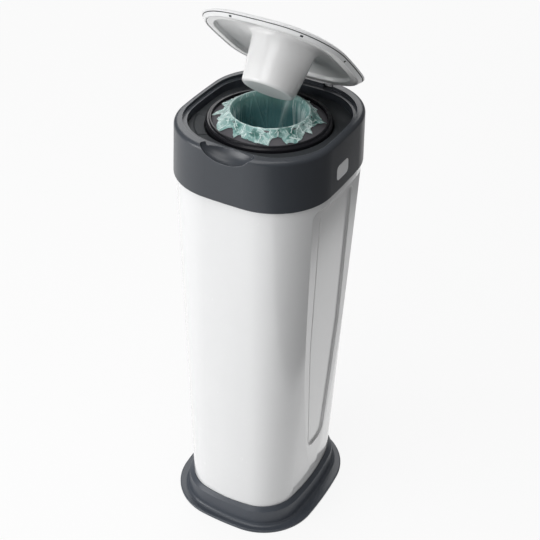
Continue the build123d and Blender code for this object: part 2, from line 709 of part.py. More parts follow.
def flange_x():
    """The outer face of the button's flange, behind the collar's skirt."""
    share = (BUTTON_Z - JOINT_Z) / (RIM_Z - JOINT_Z)
    return blend(COLLAR_FOOT, COLLAR_RIM, share).half_x - COLLAR_WALL - 1.2


def release_button():
    """The button's face, flange and spring stem."""
    front = flange_x()
    back = front - FLANGE_LAP
    body = button_prism(0, back, COLLAR_FOOT.half_x + 5) & button_skin()
    room = block(back, front, -200, 200, CHASSIS_TOP_Z + RUN, DECK_LOW_Z - RUN)
    body += button_prism(FLANGE_LAP, back, front) & room
    body += rod_x(STEM_R, BRACKET_X + 0.5, back + 1, BUTTON_Y, BUTTON_Z)
    return body


def latch_hook():
    """The latch that reaches down from the button to the neck's window."""
    back = flange_x() - FLANGE_LAP
    tip = NECK.half_x - NECK_WALL - FIT
    leg = tip - 2.0
    nose_z = JOINT_Z + NECK_H / 2
    top = BUTTON_Z - SPRING_R - SPRING_WIRE - FIT
    step = CHASSIS_TOP_Z + RUN
    profile = make_face(Polyline(
        (back, top), (back - LATCH_T, top), (leg - LATCH_T, step + 1.5),
        (leg - LATCH_T, nose_z - 2.2), (tip, nose_z - 1.0), (tip, nose_z + 1.4),
        (leg, nose_z + 1.4), (leg, step), (back, step + 1.5), close=True,
    ))
    plane = Plane(origin=(0, BUTTON_Y, 0), x_dir=(1, 0, 0), z_dir=(0, -1, 0))
    return extrude(plane * profile, LATCH_W / 2, both=True)


def button_spring():
    """The spring between the bracket and the button's flange."""
    x0 = BRACKET_X + BRACKET_T + PLAY
    x1 = flange_x() - FLANGE_LAP - PLAY
    height = x1 - x0 - SPRING_WIRE
    path = Helix(pitch=height / SPRING_TURNS, height=height, radius=SPRING_R)
    coil = sweep(Plane(origin=path @ 0, z_dir=path % 0) * Circle(SPRING_WIRE / 2), path=path)
    return Pos(x0 + SPRING_WIRE / 2, BUTTON_Y, BUTTON_Z) * Rot(Y=90) * coil


# -------------------------------------------------------------- turntable
def turntable():
    """The ring and tub that carry the cassette and turn to twist the film."""
    skirt_z = DECK_Z + FIT
    inner = TUB_R - TUB_WALL
    body = turned(
        [
            (TUB_FLOOR_HOLE, TUB_Z), (TUB_R, TUB_Z), (TUB_R, BEAD_Z - 6),
            (RING_R - RING_SKIRT, BEAD_Z - 6), (RING_R - RING_SKIRT, skirt_z),
            (RING_R, skirt_z), (RING_R, BEAD_Z - 3.5), (RING_R - 2.0, BEAD_Z - 1.5),
            (BEAD_R + 1.4, BEAD_Z - 1.9), (BEAD_R + 0.9, BEAD_Z), (inner, BEAD_Z),
            (inner, TUB_Z + TUB_WALL), (TUB_FLOOR_HOLE, TUB_Z + TUB_WALL),
        ],
        rounds=((6, 1.2), (9, 0.7), (10, 0.5)),
    )
    return THROAT * body


def cassette_tub():
    """The open ring-shaped tub of the film cassette."""
    outer = TUB_R - TUB_WALL - FIT
    low = CASSETTE_Z
    inner = CREST_R - CREST_ROUND + CASSETTE_WALL + FIT
    wall = CASSETTE_WALL
    body = turned(
        [
            (inner, low), (outer, low), (outer, CAP_EDGE_Z - 5), (outer - wall, CAP_EDGE_Z - 5),
            (outer - wall, low + wall), (inner + wall, low + wall), (inner + wall, low + 12),
            (inner, low + 12),
        ]
    )
    return THROAT * body


def cap_slope():
    """The cap's upper side, from the end of its crest arc out to its edge."""
    lean = radians(20)
    centre_z = CREST_Z - CREST_ROUND
    return [
        (CREST_R + CREST_ROUND * cos(lean), centre_z + CREST_ROUND * sin(lean)),
        (CREST_R + CAP_SHOULDER, CREST_Z - CAP_SHOULDER_DROP),
        (TUB_R - TUB_WALL - FIT, CAP_EDGE_Z),
    ]


def beside(points, by):
    """A chain of (radius, height) points moved sideways by a distance."""
    normals = []
    for (r0, z0), (r1, z1) in zip(points, points[1:]):
        length = hypot(r1 - r0, z1 - z0)
        normals.append((-(z1 - z0) / length, (r1 - r0) / length))
    moved = []
    for index, (r, z) in enumerate(points):
        a = normals[max(index - 1, 0)]
        b = normals[min(index, len(normals) - 1)]
        scale = by / (1 + a[0] * b[0] + a[1] * b[1])
        moved.append((r + (a[0] + b[0]) * scale, z + (a[1] + b[1]) * scale))
    return moved


def crest_path(by):
    """The line over the crest and out to the edge, moved off the cap by a distance."""
    centre_z = CREST_Z - CREST_ROUND
    radius = CREST_ROUND + by
    bore = (CREST_R - radius, centre_z)
    top = (CREST_R, centre_z + radius)
    slope = beside(cap_slope(), by)
    return bore, top, slope


def cassette_cap():
    """The dark cap of the cassette with its funnel for the film."""
    wall = CASSETTE_WALL
    bore, top, slope = crest_path(0)
    in_bore, in_top, in_slope = crest_path(-wall)
    low_z = CASSETTE_Z + 1
    edge_r, edge_z = slope[2]
    profile = make_face([
        Line((edge_r, edge_z - CAP_SKIRT), (edge_r, edge_z)),
        Polyline(slope[2], slope[1], slope[0]),
        ThreePointArc(slope[0], top, bore),
        Polyline(bore, (FUNNEL_LOW_R, low_z), (FUNNEL_LOW_R + wall, low_z), in_bore),
        ThreePointArc(in_bore, in_top, in_slope[0]),
        Polyline(in_slope[0], in_slope[1], (edge_r - wall, edge_z - wall),
                 (edge_r - wall, edge_z - CAP_SKIRT), (edge_r, edge_z - CAP_SKIRT)),
    ])
    return THROAT * revolve(Plane.XZ * profile, Axis.Z)


def film_pack():
    """The pleated film stored in the cassette."""
    outer = TUB_R - TUB_WALL - 2 * FIT - CASSETTE_WALL
    inner = CREST_R - CREST_ROUND + 2 * CASSETTE_WALL + 2 * FIT
    low = CASSETTE_Z + CASSETTE_WALL
    high = CAP_EDGE_Z - 6
    return THROAT * turned([(inner, low), (outer, low), (outer, high), (inner, high)],
                           rounds=((2, 2.0), (3, 2.0)))


def film_low():
    """Radius and height where the film leaves the funnel for the fingers."""
    return FUNNEL_LOW_R - FILM_GAP - FILM_T / 2, CHASSIS_TOP_Z


def film():
    """The film drawn over the crest and down the funnel."""
    rise = FILM_GAP + FILM_T / 2
    bore, top, slope = crest_path(rise)
    share = (FILM_SKIRT_R - slope[1][0]) / (slope[2][0] - slope[1][0])
    start = (FILM_SKIRT_R, slope[1][1] + (slope[2][1] - slope[1][1]) * share)
    inside = trace([
        Polyline(start, slope[1], slope[0]),
        ThreePointArc(slope[0], top, bore),
        Polyline(bore, (FUNNEL_LOW_R - rise, CASSETTE_Z + 1), film_low()),
    ], FILM_T)
    return THROAT * revolve(Plane.XZ * inside, Axis.Z)


def film_tail():
    """The film from the funnel's end through the fingers to its knot."""
    half = FILM_T / 2
    low_r, low_z = film_low()
    tip = (TAIL_R, CHASSIS_Z - FINGER_DROP + 1.2)
    start = (low_r, low_z - FILM_T)
    throat = (low_r - 1.5, CHASSIS_Z)
    inside = trace([Polyline(start, throat, tip)], FILM_T)
    sleeve = revolve(Plane.XZ * inside, Axis.Z)
    z = tip[1]
    neck_r = 0.45 * TAIL_R
    knot_z = z - KNOT_H
    tail = turned(
        [
            (0, z - 3), (TAIL_R - 3, z + half), (TAIL_R + half, z + half), (TAIL_R + half, z - 2),
            (neck_r, knot_z), (KNOT_R, knot_z - 1.5), (KNOT_R, knot_z - KNOT_H + 1.5),
            (neck_r, knot_z - KNOT_H), (KNOT_R - 1, knot_z - 2 * KNOT_H),
            (0, knot_z - 2 * KNOT_H),
        ],
        rounds=((5, 2.0), (6, 2.0)),
    )
    return THROAT * (sleeve + tail)


# -------------------------------------------------------------------- lid
def dome(outline, drop):
    """The lid's domed block, its surface lowered by a wall."""
    steps = ((0, 0.0), (4, 0.19), (14, 0.43), (30, 0.72), (52, 0.93))
    sections = [
        Face(outline.grown(-inset).wire(LID_TOP_Z + DOME_RISE * rise - drop))
        for inset, rise in steps
    ]
    edge = taper(outline.grown(-EDGE_SLANT), LID_LOW_Z, outline, LID_TOP_Z - drop)
    return loft(sections) + edge


def raise_lid(piece):
    """Turns a piece of the closed lid to where the lid stands."""
    there = Pos(0, LID_HINGE_Y, LID_HINGE_Z)
    back = Pos(0, -LID_HINGE_Y, -LID_HINGE_Z)
    return there * Rot(X=-LID_OPEN) * back * piece


def lid_shell():
    """The lid's domed outer shell with its two hinge lugs."""
    place = Pos(0, LID_CENTRE_Y, 0)
    body = dome(LID_EDGE, 0) - dome(LID_EDGE.grown(-LID_WALL), LID_WALL)
    body = place * body
    back_y = LID_CENTRE_Y + LID_EDGE.half_y
    for x in (-LUG_X, LUG_X):
        half = LUG_W / 2
        body += rod_x(LID_BARREL_R, x - half, x + half, LID_HINGE_Y, LID_HINGE_Z)
        body += block(x - half, x + half, back_y - LID_WALL, LID_HINGE_Y,
                      LID_LOW_Z + FIT, LID_HINGE_Z + 2.4)
        body -= rod_x(LID_PIN_R + PLAY, x - half - 1, x + half + 1, LID_HINGE_Y, LID_HINGE_Z)
    return raise_lid(body)


def lid_recess():
    """The recess in the lid's underside, wide at its mouth."""
    low, high = LID_LOW_Z - 2, LID_LOW_Z + 24
    mouth = LID_EDGE.grown(-BAND_W)
    return taper(mouth, low, mouth.grown(-RECESS_LEAN * (high - low)), high)


def snap_slots():
    """The slots in the liner's band where the shell snaps on."""
    track = LID_EDGE.grown(-SNAP_INSET).wire(LID_LOW_Z)
    slots = []
    for turn in SNAP_TURNS:
        ray = Vector(cos(radians(turn)), sin(radians(turn)), 0)
        far = Edge.make_line((0, 0, LID_LOW_Z), tuple(ray * 200 + Vector(0, 0, LID_LOW_Z)))
        spot = (far & track).vertices()[0].center()
        slot = Rot(Z=turn + 90) * Box(SNAP_L, SNAP_W, 4)
        slots.append(Pos(spot.X, spot.Y, LID_LOW_Z) * slot)
    return slots


def lid_liner():
    """The lid's underside: a band with snap slots round a recessed panel."""
    inner = LID_EDGE.grown(-LID_WALL - LINER_GAP)
    body = dome(inner, LID_WALL + 0.1)
    body -= dome(LID_EDGE.grown(-LID_WALL), LID_WALL + LINER_WALL) & lid_recess()
    low = LID_LOW_Z + FIT
    body -= block(-200, 200, -200, 200, LID_LOW_Z - 10, low)
    hollow = slab(LID_EDGE.grown(-EDGE_SLANT - 4), low + LINER_WALL, LID_TOP_Z + DOME_RISE)
    body -= hollow - slab(LID_EDGE.grown(1.5 - BAND_W), LID_LOW_Z, LID_TOP_Z + DOME_RISE + 1)
    for slot in snap_slots():
        body -= slot
    body = Pos(0, LID_CENTRE_Y, 0) * body
    body -= plunger_room()
    return raise_lid(body)


def plunger_block(wall, over_z):
    """The plunger's outer form, drawn in by a wall and cut off at a height."""
    root_z = LID_TOP_Z + FLARE_H
    flare = PLUNGER_TOP_R + PLUNGER_FLARE - wall
    return THROAT * turned(
        [
            (0, PLUNGER_Z + wall), (PLUNGER_LOW_R - wall, PLUNGER_Z + wall),
            (PLUNGER_TOP_R - wall, LID_TOP_Z), (flare, root_z), (flare, over_z), (0, over_z),
        ],
        rounds=((1, PLUNGER_ROUND - wall), (2, 8.0)),
    )


def plunger_room():
    """The round hole in the liner that the plunger stands in."""
    radius = PLUNGER_TOP_R + PLUNGER_FLARE
    return THROAT * rod(radius, LID_LOW_Z - 1, LID_TOP_Z + DOME_RISE + 1)


def plunger():
    """The hollow plunger under the lid, set into the liner."""
    over_z = LID_TOP_Z + DOME_RISE + 1
    ceiling = Pos(0, LID_CENTRE_Y, 0) * dome(LID_EDGE.grown(-LID_WALL - 0.1), LID_WALL + 0.1)
    low_part = slab(LID_EDGE, PLUNGER_Z - 1, LID_LOW_Z)
    body = plunger_block(0, over_z) & (ceiling + low_part)
    return raise_lid(body - plunger_block(PLUNGER_WALL, over_z))


NODES = {
    "base": base,
    "feet": feet,
    "base_screws": base_screws,
    "body_shell": body_shell,
    "tilt_pin": tilt_pin,
    "collar": collar,
    "lid_pins": lid_pins,
    "deck": deck,
    "chassis": chassis,
    "frame_screws": frame_screws,
    "finger_ring": finger_ring,
    "grip_screws": grip_screws,
    "cutter_rail": cutter_rail,
    "cutter_screws": cutter_screws,
    "cutter_slide": cutter_slide,
    "cutter_blade": cutter_blade,
    "release_button": release_button,
    "latch_hook": latch_hook,
    "button_spring": button_spring,
    "turntable": turntable,
    "cassette_tub": cassette_tub,
    "cassette_cap": cassette_cap,
    "film_pack": film_pack,
    "film": film,
    "film_tail": film_tail,
    "lid_shell": lid_shell,
    "lid_liner": lid_liner,
    "plunger": plunger,
}


def main():
    """Writes one STEP file for each node."""
    os.makedirs("parts", exist_ok=True)
    for name, make in NODES.items():
        piece = make()
        if isinstance(piece, list):
            piece = Compound(children=[Solid(item.solids()[0].wrapped) for item in piece])
        piece.label = name
        export_step(piece, f"parts/{name}.step")


main()
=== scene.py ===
import json
import logging
import math
from dataclasses import dataclass
from enum import Enum

import bpy
import numpy as np
from mathutils import Matrix, Vector


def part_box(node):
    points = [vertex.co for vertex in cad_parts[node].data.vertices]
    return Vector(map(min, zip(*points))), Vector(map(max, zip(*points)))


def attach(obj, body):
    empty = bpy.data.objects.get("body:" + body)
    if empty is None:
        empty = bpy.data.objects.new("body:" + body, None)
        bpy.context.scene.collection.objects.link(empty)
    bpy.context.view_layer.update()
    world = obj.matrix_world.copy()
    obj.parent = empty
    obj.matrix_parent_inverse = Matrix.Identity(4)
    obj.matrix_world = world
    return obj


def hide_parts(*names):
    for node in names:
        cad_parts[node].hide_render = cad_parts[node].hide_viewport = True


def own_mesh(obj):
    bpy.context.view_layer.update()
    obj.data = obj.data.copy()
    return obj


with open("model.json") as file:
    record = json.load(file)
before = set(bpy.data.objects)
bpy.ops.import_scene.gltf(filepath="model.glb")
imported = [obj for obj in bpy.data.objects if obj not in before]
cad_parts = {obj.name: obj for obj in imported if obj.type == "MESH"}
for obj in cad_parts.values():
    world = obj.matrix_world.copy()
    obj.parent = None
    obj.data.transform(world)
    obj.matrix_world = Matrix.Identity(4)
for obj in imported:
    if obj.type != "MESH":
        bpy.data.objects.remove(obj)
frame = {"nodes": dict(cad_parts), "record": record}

LOG = logging.getLogger("nappy_bin")
MM = 0.001
Point = tuple[float, float, float]
Colour = tuple[float, float, float]


class Surface(Enum):
    """The kinds of surface that a finish is made with."""

    MOULDED = "moulded plastic"
    METAL = "drawn metal"
    RUBBER = "rubber"


@dataclass(frozen=True)
class Finish:
    """One finish of the bin: its colour, its gloss, how it has aged and its edge colour, which is
    wear and, on the collar, also painted highlight lines. Lengths in metres.
    """

    slot: str
    surface: Surface
    colour: Colour
    roughness: float
    edge_wear_and_highlight: Colour
    drift: float = 0.05
    grain: float = 0.02
    grain_scale: float = 900.0
    edge_radius: float = 0.0006
    edge_wear_and_highlight_share: float = 0.25
    dust: float = 0.04
    scuffs: float = 0.08
    coat: float = 0.0
    coat_roughness: float = 0.08
    specular: float = 0.5


FINISHES = (
    Finish("sleeve_white", Surface.MOULDED, (0.83, 0.835, 0.84), 0.24, (0.88, 0.88, 0.88),
           drift=0.012, grain=0.004, edge_radius=0.003, edge_wear_and_highlight_share=0.3, dust=0.02, scuffs=0.05,
           coat=1.0, coat_roughness=0.05),
    Finish("lid_white", Surface.MOULDED, (0.79, 0.795, 0.8), 0.34, (0.88, 0.88, 0.88),
           drift=0.015, grain=0.008, edge_radius=0.0008, edge_wear_and_highlight_share=0.3, dust=0.02, scuffs=0.05),
    # Painted highlight: the collar's pale edge colour and strong edge share draw bright lines along
    # its edges, beside their wear.
    Finish("collar_grey", Surface.MOULDED, (0.042, 0.048, 0.058), 0.33, (0.26, 0.27, 0.29),
           drift=0.05, grain=0.018, edge_radius=0.0006, edge_wear_and_highlight_share=0.6, dust=0.05, scuffs=0.1),
    Finish("base_slate", Surface.MOULDED, (0.058, 0.067, 0.083), 0.34, (0.21, 0.225, 0.25),
           drift=0.05, grain=0.016, edge_radius=0.0008, edge_wear_and_highlight_share=0.35, dust=0.06, scuffs=0.12),
    Finish("deck_black", Surface.MOULDED, (0.088, 0.092, 0.102), 0.34, (0.18, 0.18, 0.19),
           drift=0.06, grain=0.02, edge_wear_and_highlight_share=0.25, dust=0.08, scuffs=0.1),
    Finish("ring_black", Surface.MOULDED, (0.012, 0.012, 0.015), 0.2, (0.06, 0.06, 0.07),
           drift=0.05, grain=0.003, edge_wear_and_highlight_share=0.4, dust=0.03, scuffs=0.1, specular=0.25),
    Finish("cassette_dark", Surface.MOULDED, (0.1, 0.096, 0.106), 0.17, (0.09, 0.09, 0.1),
           drift=0.06, grain=0.012, edge_wear_and_highlight_share=0.3, dust=0.05, scuffs=0.1),
    Finish("finger_grey", Surface.MOULDED, (0.07, 0.07, 0.075), 0.5, (0.13, 0.13, 0.14),
           grain=0.03, dust=0.08),
    Finish("cutter_plastic", Surface.MOULDED, (0.07, 0.07, 0.075), 0.5, (0.13, 0.13, 0.14),
           grain=0.03, dust=0.08),
    Finish("cutter_slide", Surface.MOULDED, (0.62, 0.63, 0.63), 0.42, (0.75, 0.75, 0.75),
           drift=0.03, grain=0.02, dust=0.05),
    Finish("button_grey", Surface.MOULDED, (0.88, 0.885, 0.89), 0.38, (0.66, 0.66, 0.67),
           drift=0.02, grain=0.01, edge_radius=0.0007, edge_wear_and_highlight_share=0.35, dust=0.02),
    Finish("foot_rubber", Surface.RUBBER, (0.022, 0.022, 0.023), 0.78, (0.06, 0.06, 0.06),
           drift=0.1, grain=0.12, grain_scale=500.0, dust=0.25, scuffs=0.2),
    Finish("screw_steel", Surface.METAL, (0.52, 0.52, 0.5), 0.34, (0.7, 0.7, 0.68),
           grain=0.03, edge_radius=0.0002, dust=0.05, scuffs=0.2),
    Finish("pin_steel", Surface.METAL, (0.6, 0.6, 0.6), 0.26, (0.74, 0.74, 0.74),
           grain=0.02, edge_radius=0.0002, dust=0.02, scuffs=0.15),
    Finish("blade_steel", Surface.METAL, (0.68, 0.69, 0.7), 0.2, (0.8, 0.8, 0.8),
           grain=0.03, edge_radius=0.0001, dust=0.02, scuffs=0.25),
    Finish("spring_steel", Surface.METAL, (0.55, 0.55, 0.54), 0.3, (0.7, 0.7, 0.7),
           grain=0.02, edge_radius=0.0001, dust=0.02, scuffs=0.15),
)


@dataclass(frozen=True)
class FilmFinish:
    """The thin teal film: its colours, with painted shade for the throat and a milk colour that
    also paints highlights, how clear it is and its folds' bumps, in metres.
    """

    slot: str = "film_teal"
    teal: Colour = (0.3, 0.54, 0.51)
    doubled: Colour = (0.07, 0.24, 0.21)
    # Painted shade: the darker colour the film takes down the throat, partly the film seen over the
    # dark cassette.
    throat: Colour = (0.115, 0.27, 0.28)
    # Milky colour of bunched film, also used for painted highlights.
    milk_and_highlight_colour: Colour = (0.84, 0.95, 0.93)
    milk_and_highlight_share: float = 0.85
    drift: float = 0.16
    drift_scale: float = 60.0
    crinkle_scale: float = 120.0
    alpha: float = 0.74
    throat_alpha: float = 0.12
    milk_and_highlight_alpha: float = 0.3
    gloss: tuple[float, float] = (0.2, 0.3)
    deep_from: float = 0.03
    bump_distance: float = 0.002
    bump_strength: float = 0.8


DUST_COLOUR: Colour = (0.52, 0.5, 0.47)
BUMP_DISTANCE = 0.001
BUMP_STRENGTH = 0.6


@dataclass
class Wiring:
    """A node tree and short ways to add nodes to it."""

    tree: bpy.types.NodeTree

    def node(self, kind: str, **settings: object) -> bpy.types.Node:
        """Adds a node and sets its properties.

        Args:
            kind: the node's type name.
            settings: properties of the node.

        Returns:
            The new node.
        """
        made = self.tree.nodes.new(kind)
        for name, value in settings.items():
            setattr(made, name, value)
        return made

    def link(self, source: bpy.types.NodeSocket, target: bpy.types.NodeSocket) -> None:
        """Joins two sockets."""
        self.tree.links.new(source, target)

    def feed(self, target: bpy.types.NodeSocket, value: object) -> None:
        """Gives a socket either a link or a plain value.

        Args:
            target: the socket that is fed.
            value: another socket, or a number, colour or vector.
        """
        if isinstance(value, bpy.types.NodeSocket):
            self.link(value, target)
        else:
            target.default_value = value

    def math(self, operation: str, *values: object, clamp: bool = False) -> bpy.types.NodeSocket:
        """Adds a Math node.

        Args:
            operation: the Math node's operation.
            values: sockets or numbers for its inputs, in order.
            clamp: whether the result is held from 0 to 1.

        Returns:
            The result's socket.
        """
        made = self.node("ShaderNodeMath", operation=operation, use_clamp=clamp)
        for index, value in enumerate(values):
            self.feed(made.inputs[index], value)
        return made.outputs[0]

    def spread(self, value: object, low: float, high: float, out_low: float = 0.0,
               out_high: float = 1.0) -> bpy.types.NodeSocket:
        """Maps a value from one range to another, smoothly and clamped.

        Args:
            value: the socket that is read.
            low: start of the range that is read.
            high: end of the range that is read.
            out_low: result at and below the start.
            out_high: result at and beyond the end.

        Returns:
            The result's socket.
        """
        made = self.node("ShaderNodeMapRange", interpolation_type="SMOOTHSTEP")
        self.feed(made.inputs["Value"], value)
        for name, number in (("From Min", low), ("From Max", high), ("To Min", out_low),
                             ("To Max", out_high)):
            made.inputs[name].default_value = number
        return made.outputs["Result"]

    def mix(self, share: object, first: object, second: object,
            blend: str = "MIX") -> bpy.types.NodeSocket:
        """Mixes two colours.

        Args:
            share: how much of the second colour is used.
            first: the first colour.
            second: the second colour.
            blend: the Mix node's blend type.

        Returns:
            The mixed colour's socket.
        """
        made = self.node("ShaderNodeMix", data_type="RGBA", blend_type=blend)
        self.feed(made.inputs[0], share)
        for index, colour in ((6, first), (7, second)):
            linked = isinstance(colour, bpy.types.NodeSocket)
            self.feed(made.inputs[index], colour if linked else (*colour, 1))
        return made.outputs[2]

    def noise(self, vector: object, scale: object, detail: float = 2.0,
              roughness: float = 0.5) -> bpy.types.NodeSocket:
        """Adds a Noise texture.

        Args:
            vector: where the texture is read.
            scale: how fine it is.
            detail: how many finer layers it has.
            roughness: how strong the finer layers are.

        Returns:
            The socket of its value, from 0 to 1.
        """
        made = self.node("ShaderNodeTexNoise")
        self.feed(made.inputs["Vector"], vector)
        self.feed(made.inputs["Scale"], scale)
        made.inputs["Detail"].default_value = detail
        made.inputs["Roughness"].default_value = roughness
        return made.outputs["Fac"]

    def place(self) -> bpy.types.NodeSocket:
        """The object's own coordinates, which move with it."""
        return self.node("ShaderNodeTexCoord").outputs["Object"]

    def stretched(self, vector: object, factors: Point) -> bpy.types.NodeSocket:
        """Scales coordinates along each axis.

        Args:
            vector: the coordinates.
            factors: a factor for each axis.

        Returns:
            The scaled coordinates' socket.
        """
        made = self.node("ShaderNodeMapping")
        self.feed(made.inputs["Vector"], vector)
        made.inputs["Scale"].default_value = factors
        return made.outputs["Vector"]


class Effects:
    """Shader node groups that the materials share, each built once."""

    def __init__(self) -> None:
        """Starts with no groups."""
        self.made: dict[str, bpy.types.NodeTree] = {}

    def start(self, name: str, inputs: tuple[tuple[str, str, object], ...],
              outputs: tuple[tuple[str, str], ...]) -> tuple[Wiring, object, object]:
        """Makes an empty group with its sockets.

        Args:
            name: the group's name.
            inputs: name, kind and default of each input.
            outputs: name and kind of each output.

        Returns:
            Its wiring, its input node and its output node.
        """
        tree = bpy.data.node_groups.new(name, "ShaderNodeTree")
        for label, kind, default in inputs:
            socket = tree.interface.new_socket(label, in_out="INPUT", socket_type=kind)
            socket.default_value = default
        for label, kind in outputs:
            tree.interface.new_socket(label, in_out="OUTPUT", socket_type=kind)
        wiring = Wiring(tree)
        return wiring, wiring.node("NodeGroupInput"), wiring.node("NodeGroupOutput")

    def colour_drift(self) -> bpy.types.NodeTree:
        """A colour that wanders a little over the surface, as moulded plastic's does.

        Returns:
            The group, which puts out the colour.
        """
        w, into, out = self.start(
            "Colour drift",
            (("Colour", "NodeSocketColor", (0.5, 0.5, 0.5, 1)),
             ("Amount", "NodeSocketFloat", 0.05), ("Scale", "NodeSocketFloat", 14.0)),
            (("Colour", "NodeSocketColor"),))
        place = w.place()
        wide = w.noise(place, into.outputs["Scale"], detail=3)
        fine = w.noise(place, w.math("MULTIPLY", into.outputs["Scale"], 9.0), detail=4)
        both = w.math("ADD", w.math("MULTIPLY", wide, 0.7), w.math("MULTIPLY", fine, 0.3))
        shift = w.math("MULTIPLY", w.math("SUBTRACT", both, 0.5), into.outputs["Amount"])
        tone = w.node("ShaderNodeHueSaturation")
        w.feed(tone.inputs["Hue"], w.math("MULTIPLY_ADD", shift, 0.1, 0.5))
        w.feed(tone.inputs["Value"], w.math("MULTIPLY_ADD", shift, 4.0, 1.0))
        w.link(into.outputs["Colour"], tone.inputs["Color"])
        w.link(tone.outputs["Color"], out.inputs["Colour"])
        return w.tree

    def soft_edges(self) -> bpy.types.NodeTree:
        """The small round that every moulded edge has, and a mask of the edges, painted as wear
        and, on the collar, as highlight lines.

        Returns:
            The group, which puts out the rounded normal and the mask.
        """
        w, into, out = self.start(
            "Soft edges",
            (("Radius", "NodeSocketFloat", 0.0006), ("Break Up", "NodeSocketFloat", 0.5)),
            (("Normal", "NodeSocketVector"), ("Mask", "NodeSocketFloat")))
        near = w.node("ShaderNodeBevel", samples=4)
        w.link(into.outputs["Radius"], near.inputs["Radius"])
        wide = w.node("ShaderNodeBevel", samples=4)
        w.feed(wide.inputs["Radius"], w.math("MULTIPLY", into.outputs["Radius"], 2.2))
        flat = w.node("ShaderNodeNewGeometry")
        dot = w.node("ShaderNodeVectorMath", operation="DOT_PRODUCT")
        w.link(wide.outputs["Normal"], dot.inputs[0])
        w.link(flat.outputs["Normal"], dot.inputs[1])
        bend = w.math("SUBTRACT", 1.0, dot.outputs["Value"])
        patch = w.noise(w.place(), 70.0, detail=5, roughness=0.65)
        broken = w.math("SUBTRACT", 1.0, w.math("MULTIPLY", patch, into.outputs["Break Up"]))
        edge_wear_and_highlight = w.math("MULTIPLY", w.spread(bend, 0.02, 0.2), broken, clamp=True)
        w.feed(out.inputs["Mask"], edge_wear_and_highlight)
        w.link(near.outputs["Normal"], out.inputs["Normal"])
        return w.tree

    def moulded_grain(self) -> bpy.types.NodeTree:
        """The fine texture of a moulded face, as a height.

        Returns:
            The group, which puts out the height.
        """
        w, into, out = self.start(
            "Moulded grain",
            (("Scale", "NodeSocketFloat", 900.0), ("Depth", "NodeSocketFloat", 0.02)),
            (("Height", "NodeSocketFloat"),))
        place = w.place()
        fine = w.noise(place, into.outputs["Scale"], detail=3, roughness=0.6)
        swell = w.noise(place, 22.0, detail=1)
        both = w.math("MULTIPLY_ADD", swell, 1.5, fine)
        w.feed(out.inputs["Height"], w.math("MULTIPLY", both, into.outputs["Depth"]))
        return w.tree

    def drawn_lines(self) -> bpy.types.NodeTree:
        """The fine lines that drawing or grinding leaves on metal, as a height.

        Returns:
            The group, which puts out the height.
        """
        w, into, out = self.start(
            "Drawn lines",
            (("Scale", "NodeSocketFloat", 900.0), ("Depth", "NodeSocketFloat", 0.02)),
            (("Height", "NodeSocketFloat"),))
        lines = w.noise(w.stretched(w.place(), (1.0, 1.0, 0.06)), into.outputs["Scale"], detail=3)
        w.feed(out.inputs["Height"], w.math("MULTIPLY", lines, into.outputs["Depth"]))
        return w.tree

    def dust(self) -> bpy.types.NodeTree:
        """A mask of the dust that settles on faces that look up.

        Returns:
            The group, which puts out the mask.
        """
        w, into, out = self.start(
            "Dust", (("Amount", "NodeSocketFloat", 0.05),), (("Mask", "NodeSocketFloat"),))
        split = w.node("ShaderNodeSeparateXYZ")
        w.link(w.node("ShaderNodeNewGeometry").outputs["Normal"], split.inputs[0])
        up = w.spread(split.outputs["Z"], 0.3, 1.0)
        specks = w.noise(w.place(), 260.0, detail=6, roughness=0.75)
        drifts = w.spread(w.noise(w.place(), 30.0, detail=3), 0.35, 0.75)
        mask = w.math("MULTIPLY", w.math("MULTIPLY", up, w.spread(specks, 0.4, 0.8)), drifts)
        w.feed(out.inputs["Mask"], w.math("MULTIPLY", mask, into.outputs["Amount"], clamp=True))
        return w.tree

    def scuffs(self) -> bpy.types.NodeTree:
        """A mask of light rub marks, which change the gloss.

        Returns:
            The group, which puts out the mask.
        """
        w, into, out = self.start(
            "Scuffs", (("Amount", "NodeSocketFloat", 0.1),), (("Mask", "NodeSocketFloat"),))
        place = w.place()
        streaks = w.noise(w.stretched(place, (1.0, 6.0, 0.5)), 160.0, detail=5, roughness=0.7)
        clouds = w.noise(place, 35.0, detail=4)
        mask = w.math("MULTIPLY", w.spread(streaks, 0.48, 0.75), w.spread(clouds, 0.35, 0.7))
        smear = w.math("MULTIPLY_ADD", clouds, 0.35, mask)
        w.feed(out.inputs["Mask"], w.math("MULTIPLY", smear, into.outputs["Amount"], clamp=True))
        return w.tree

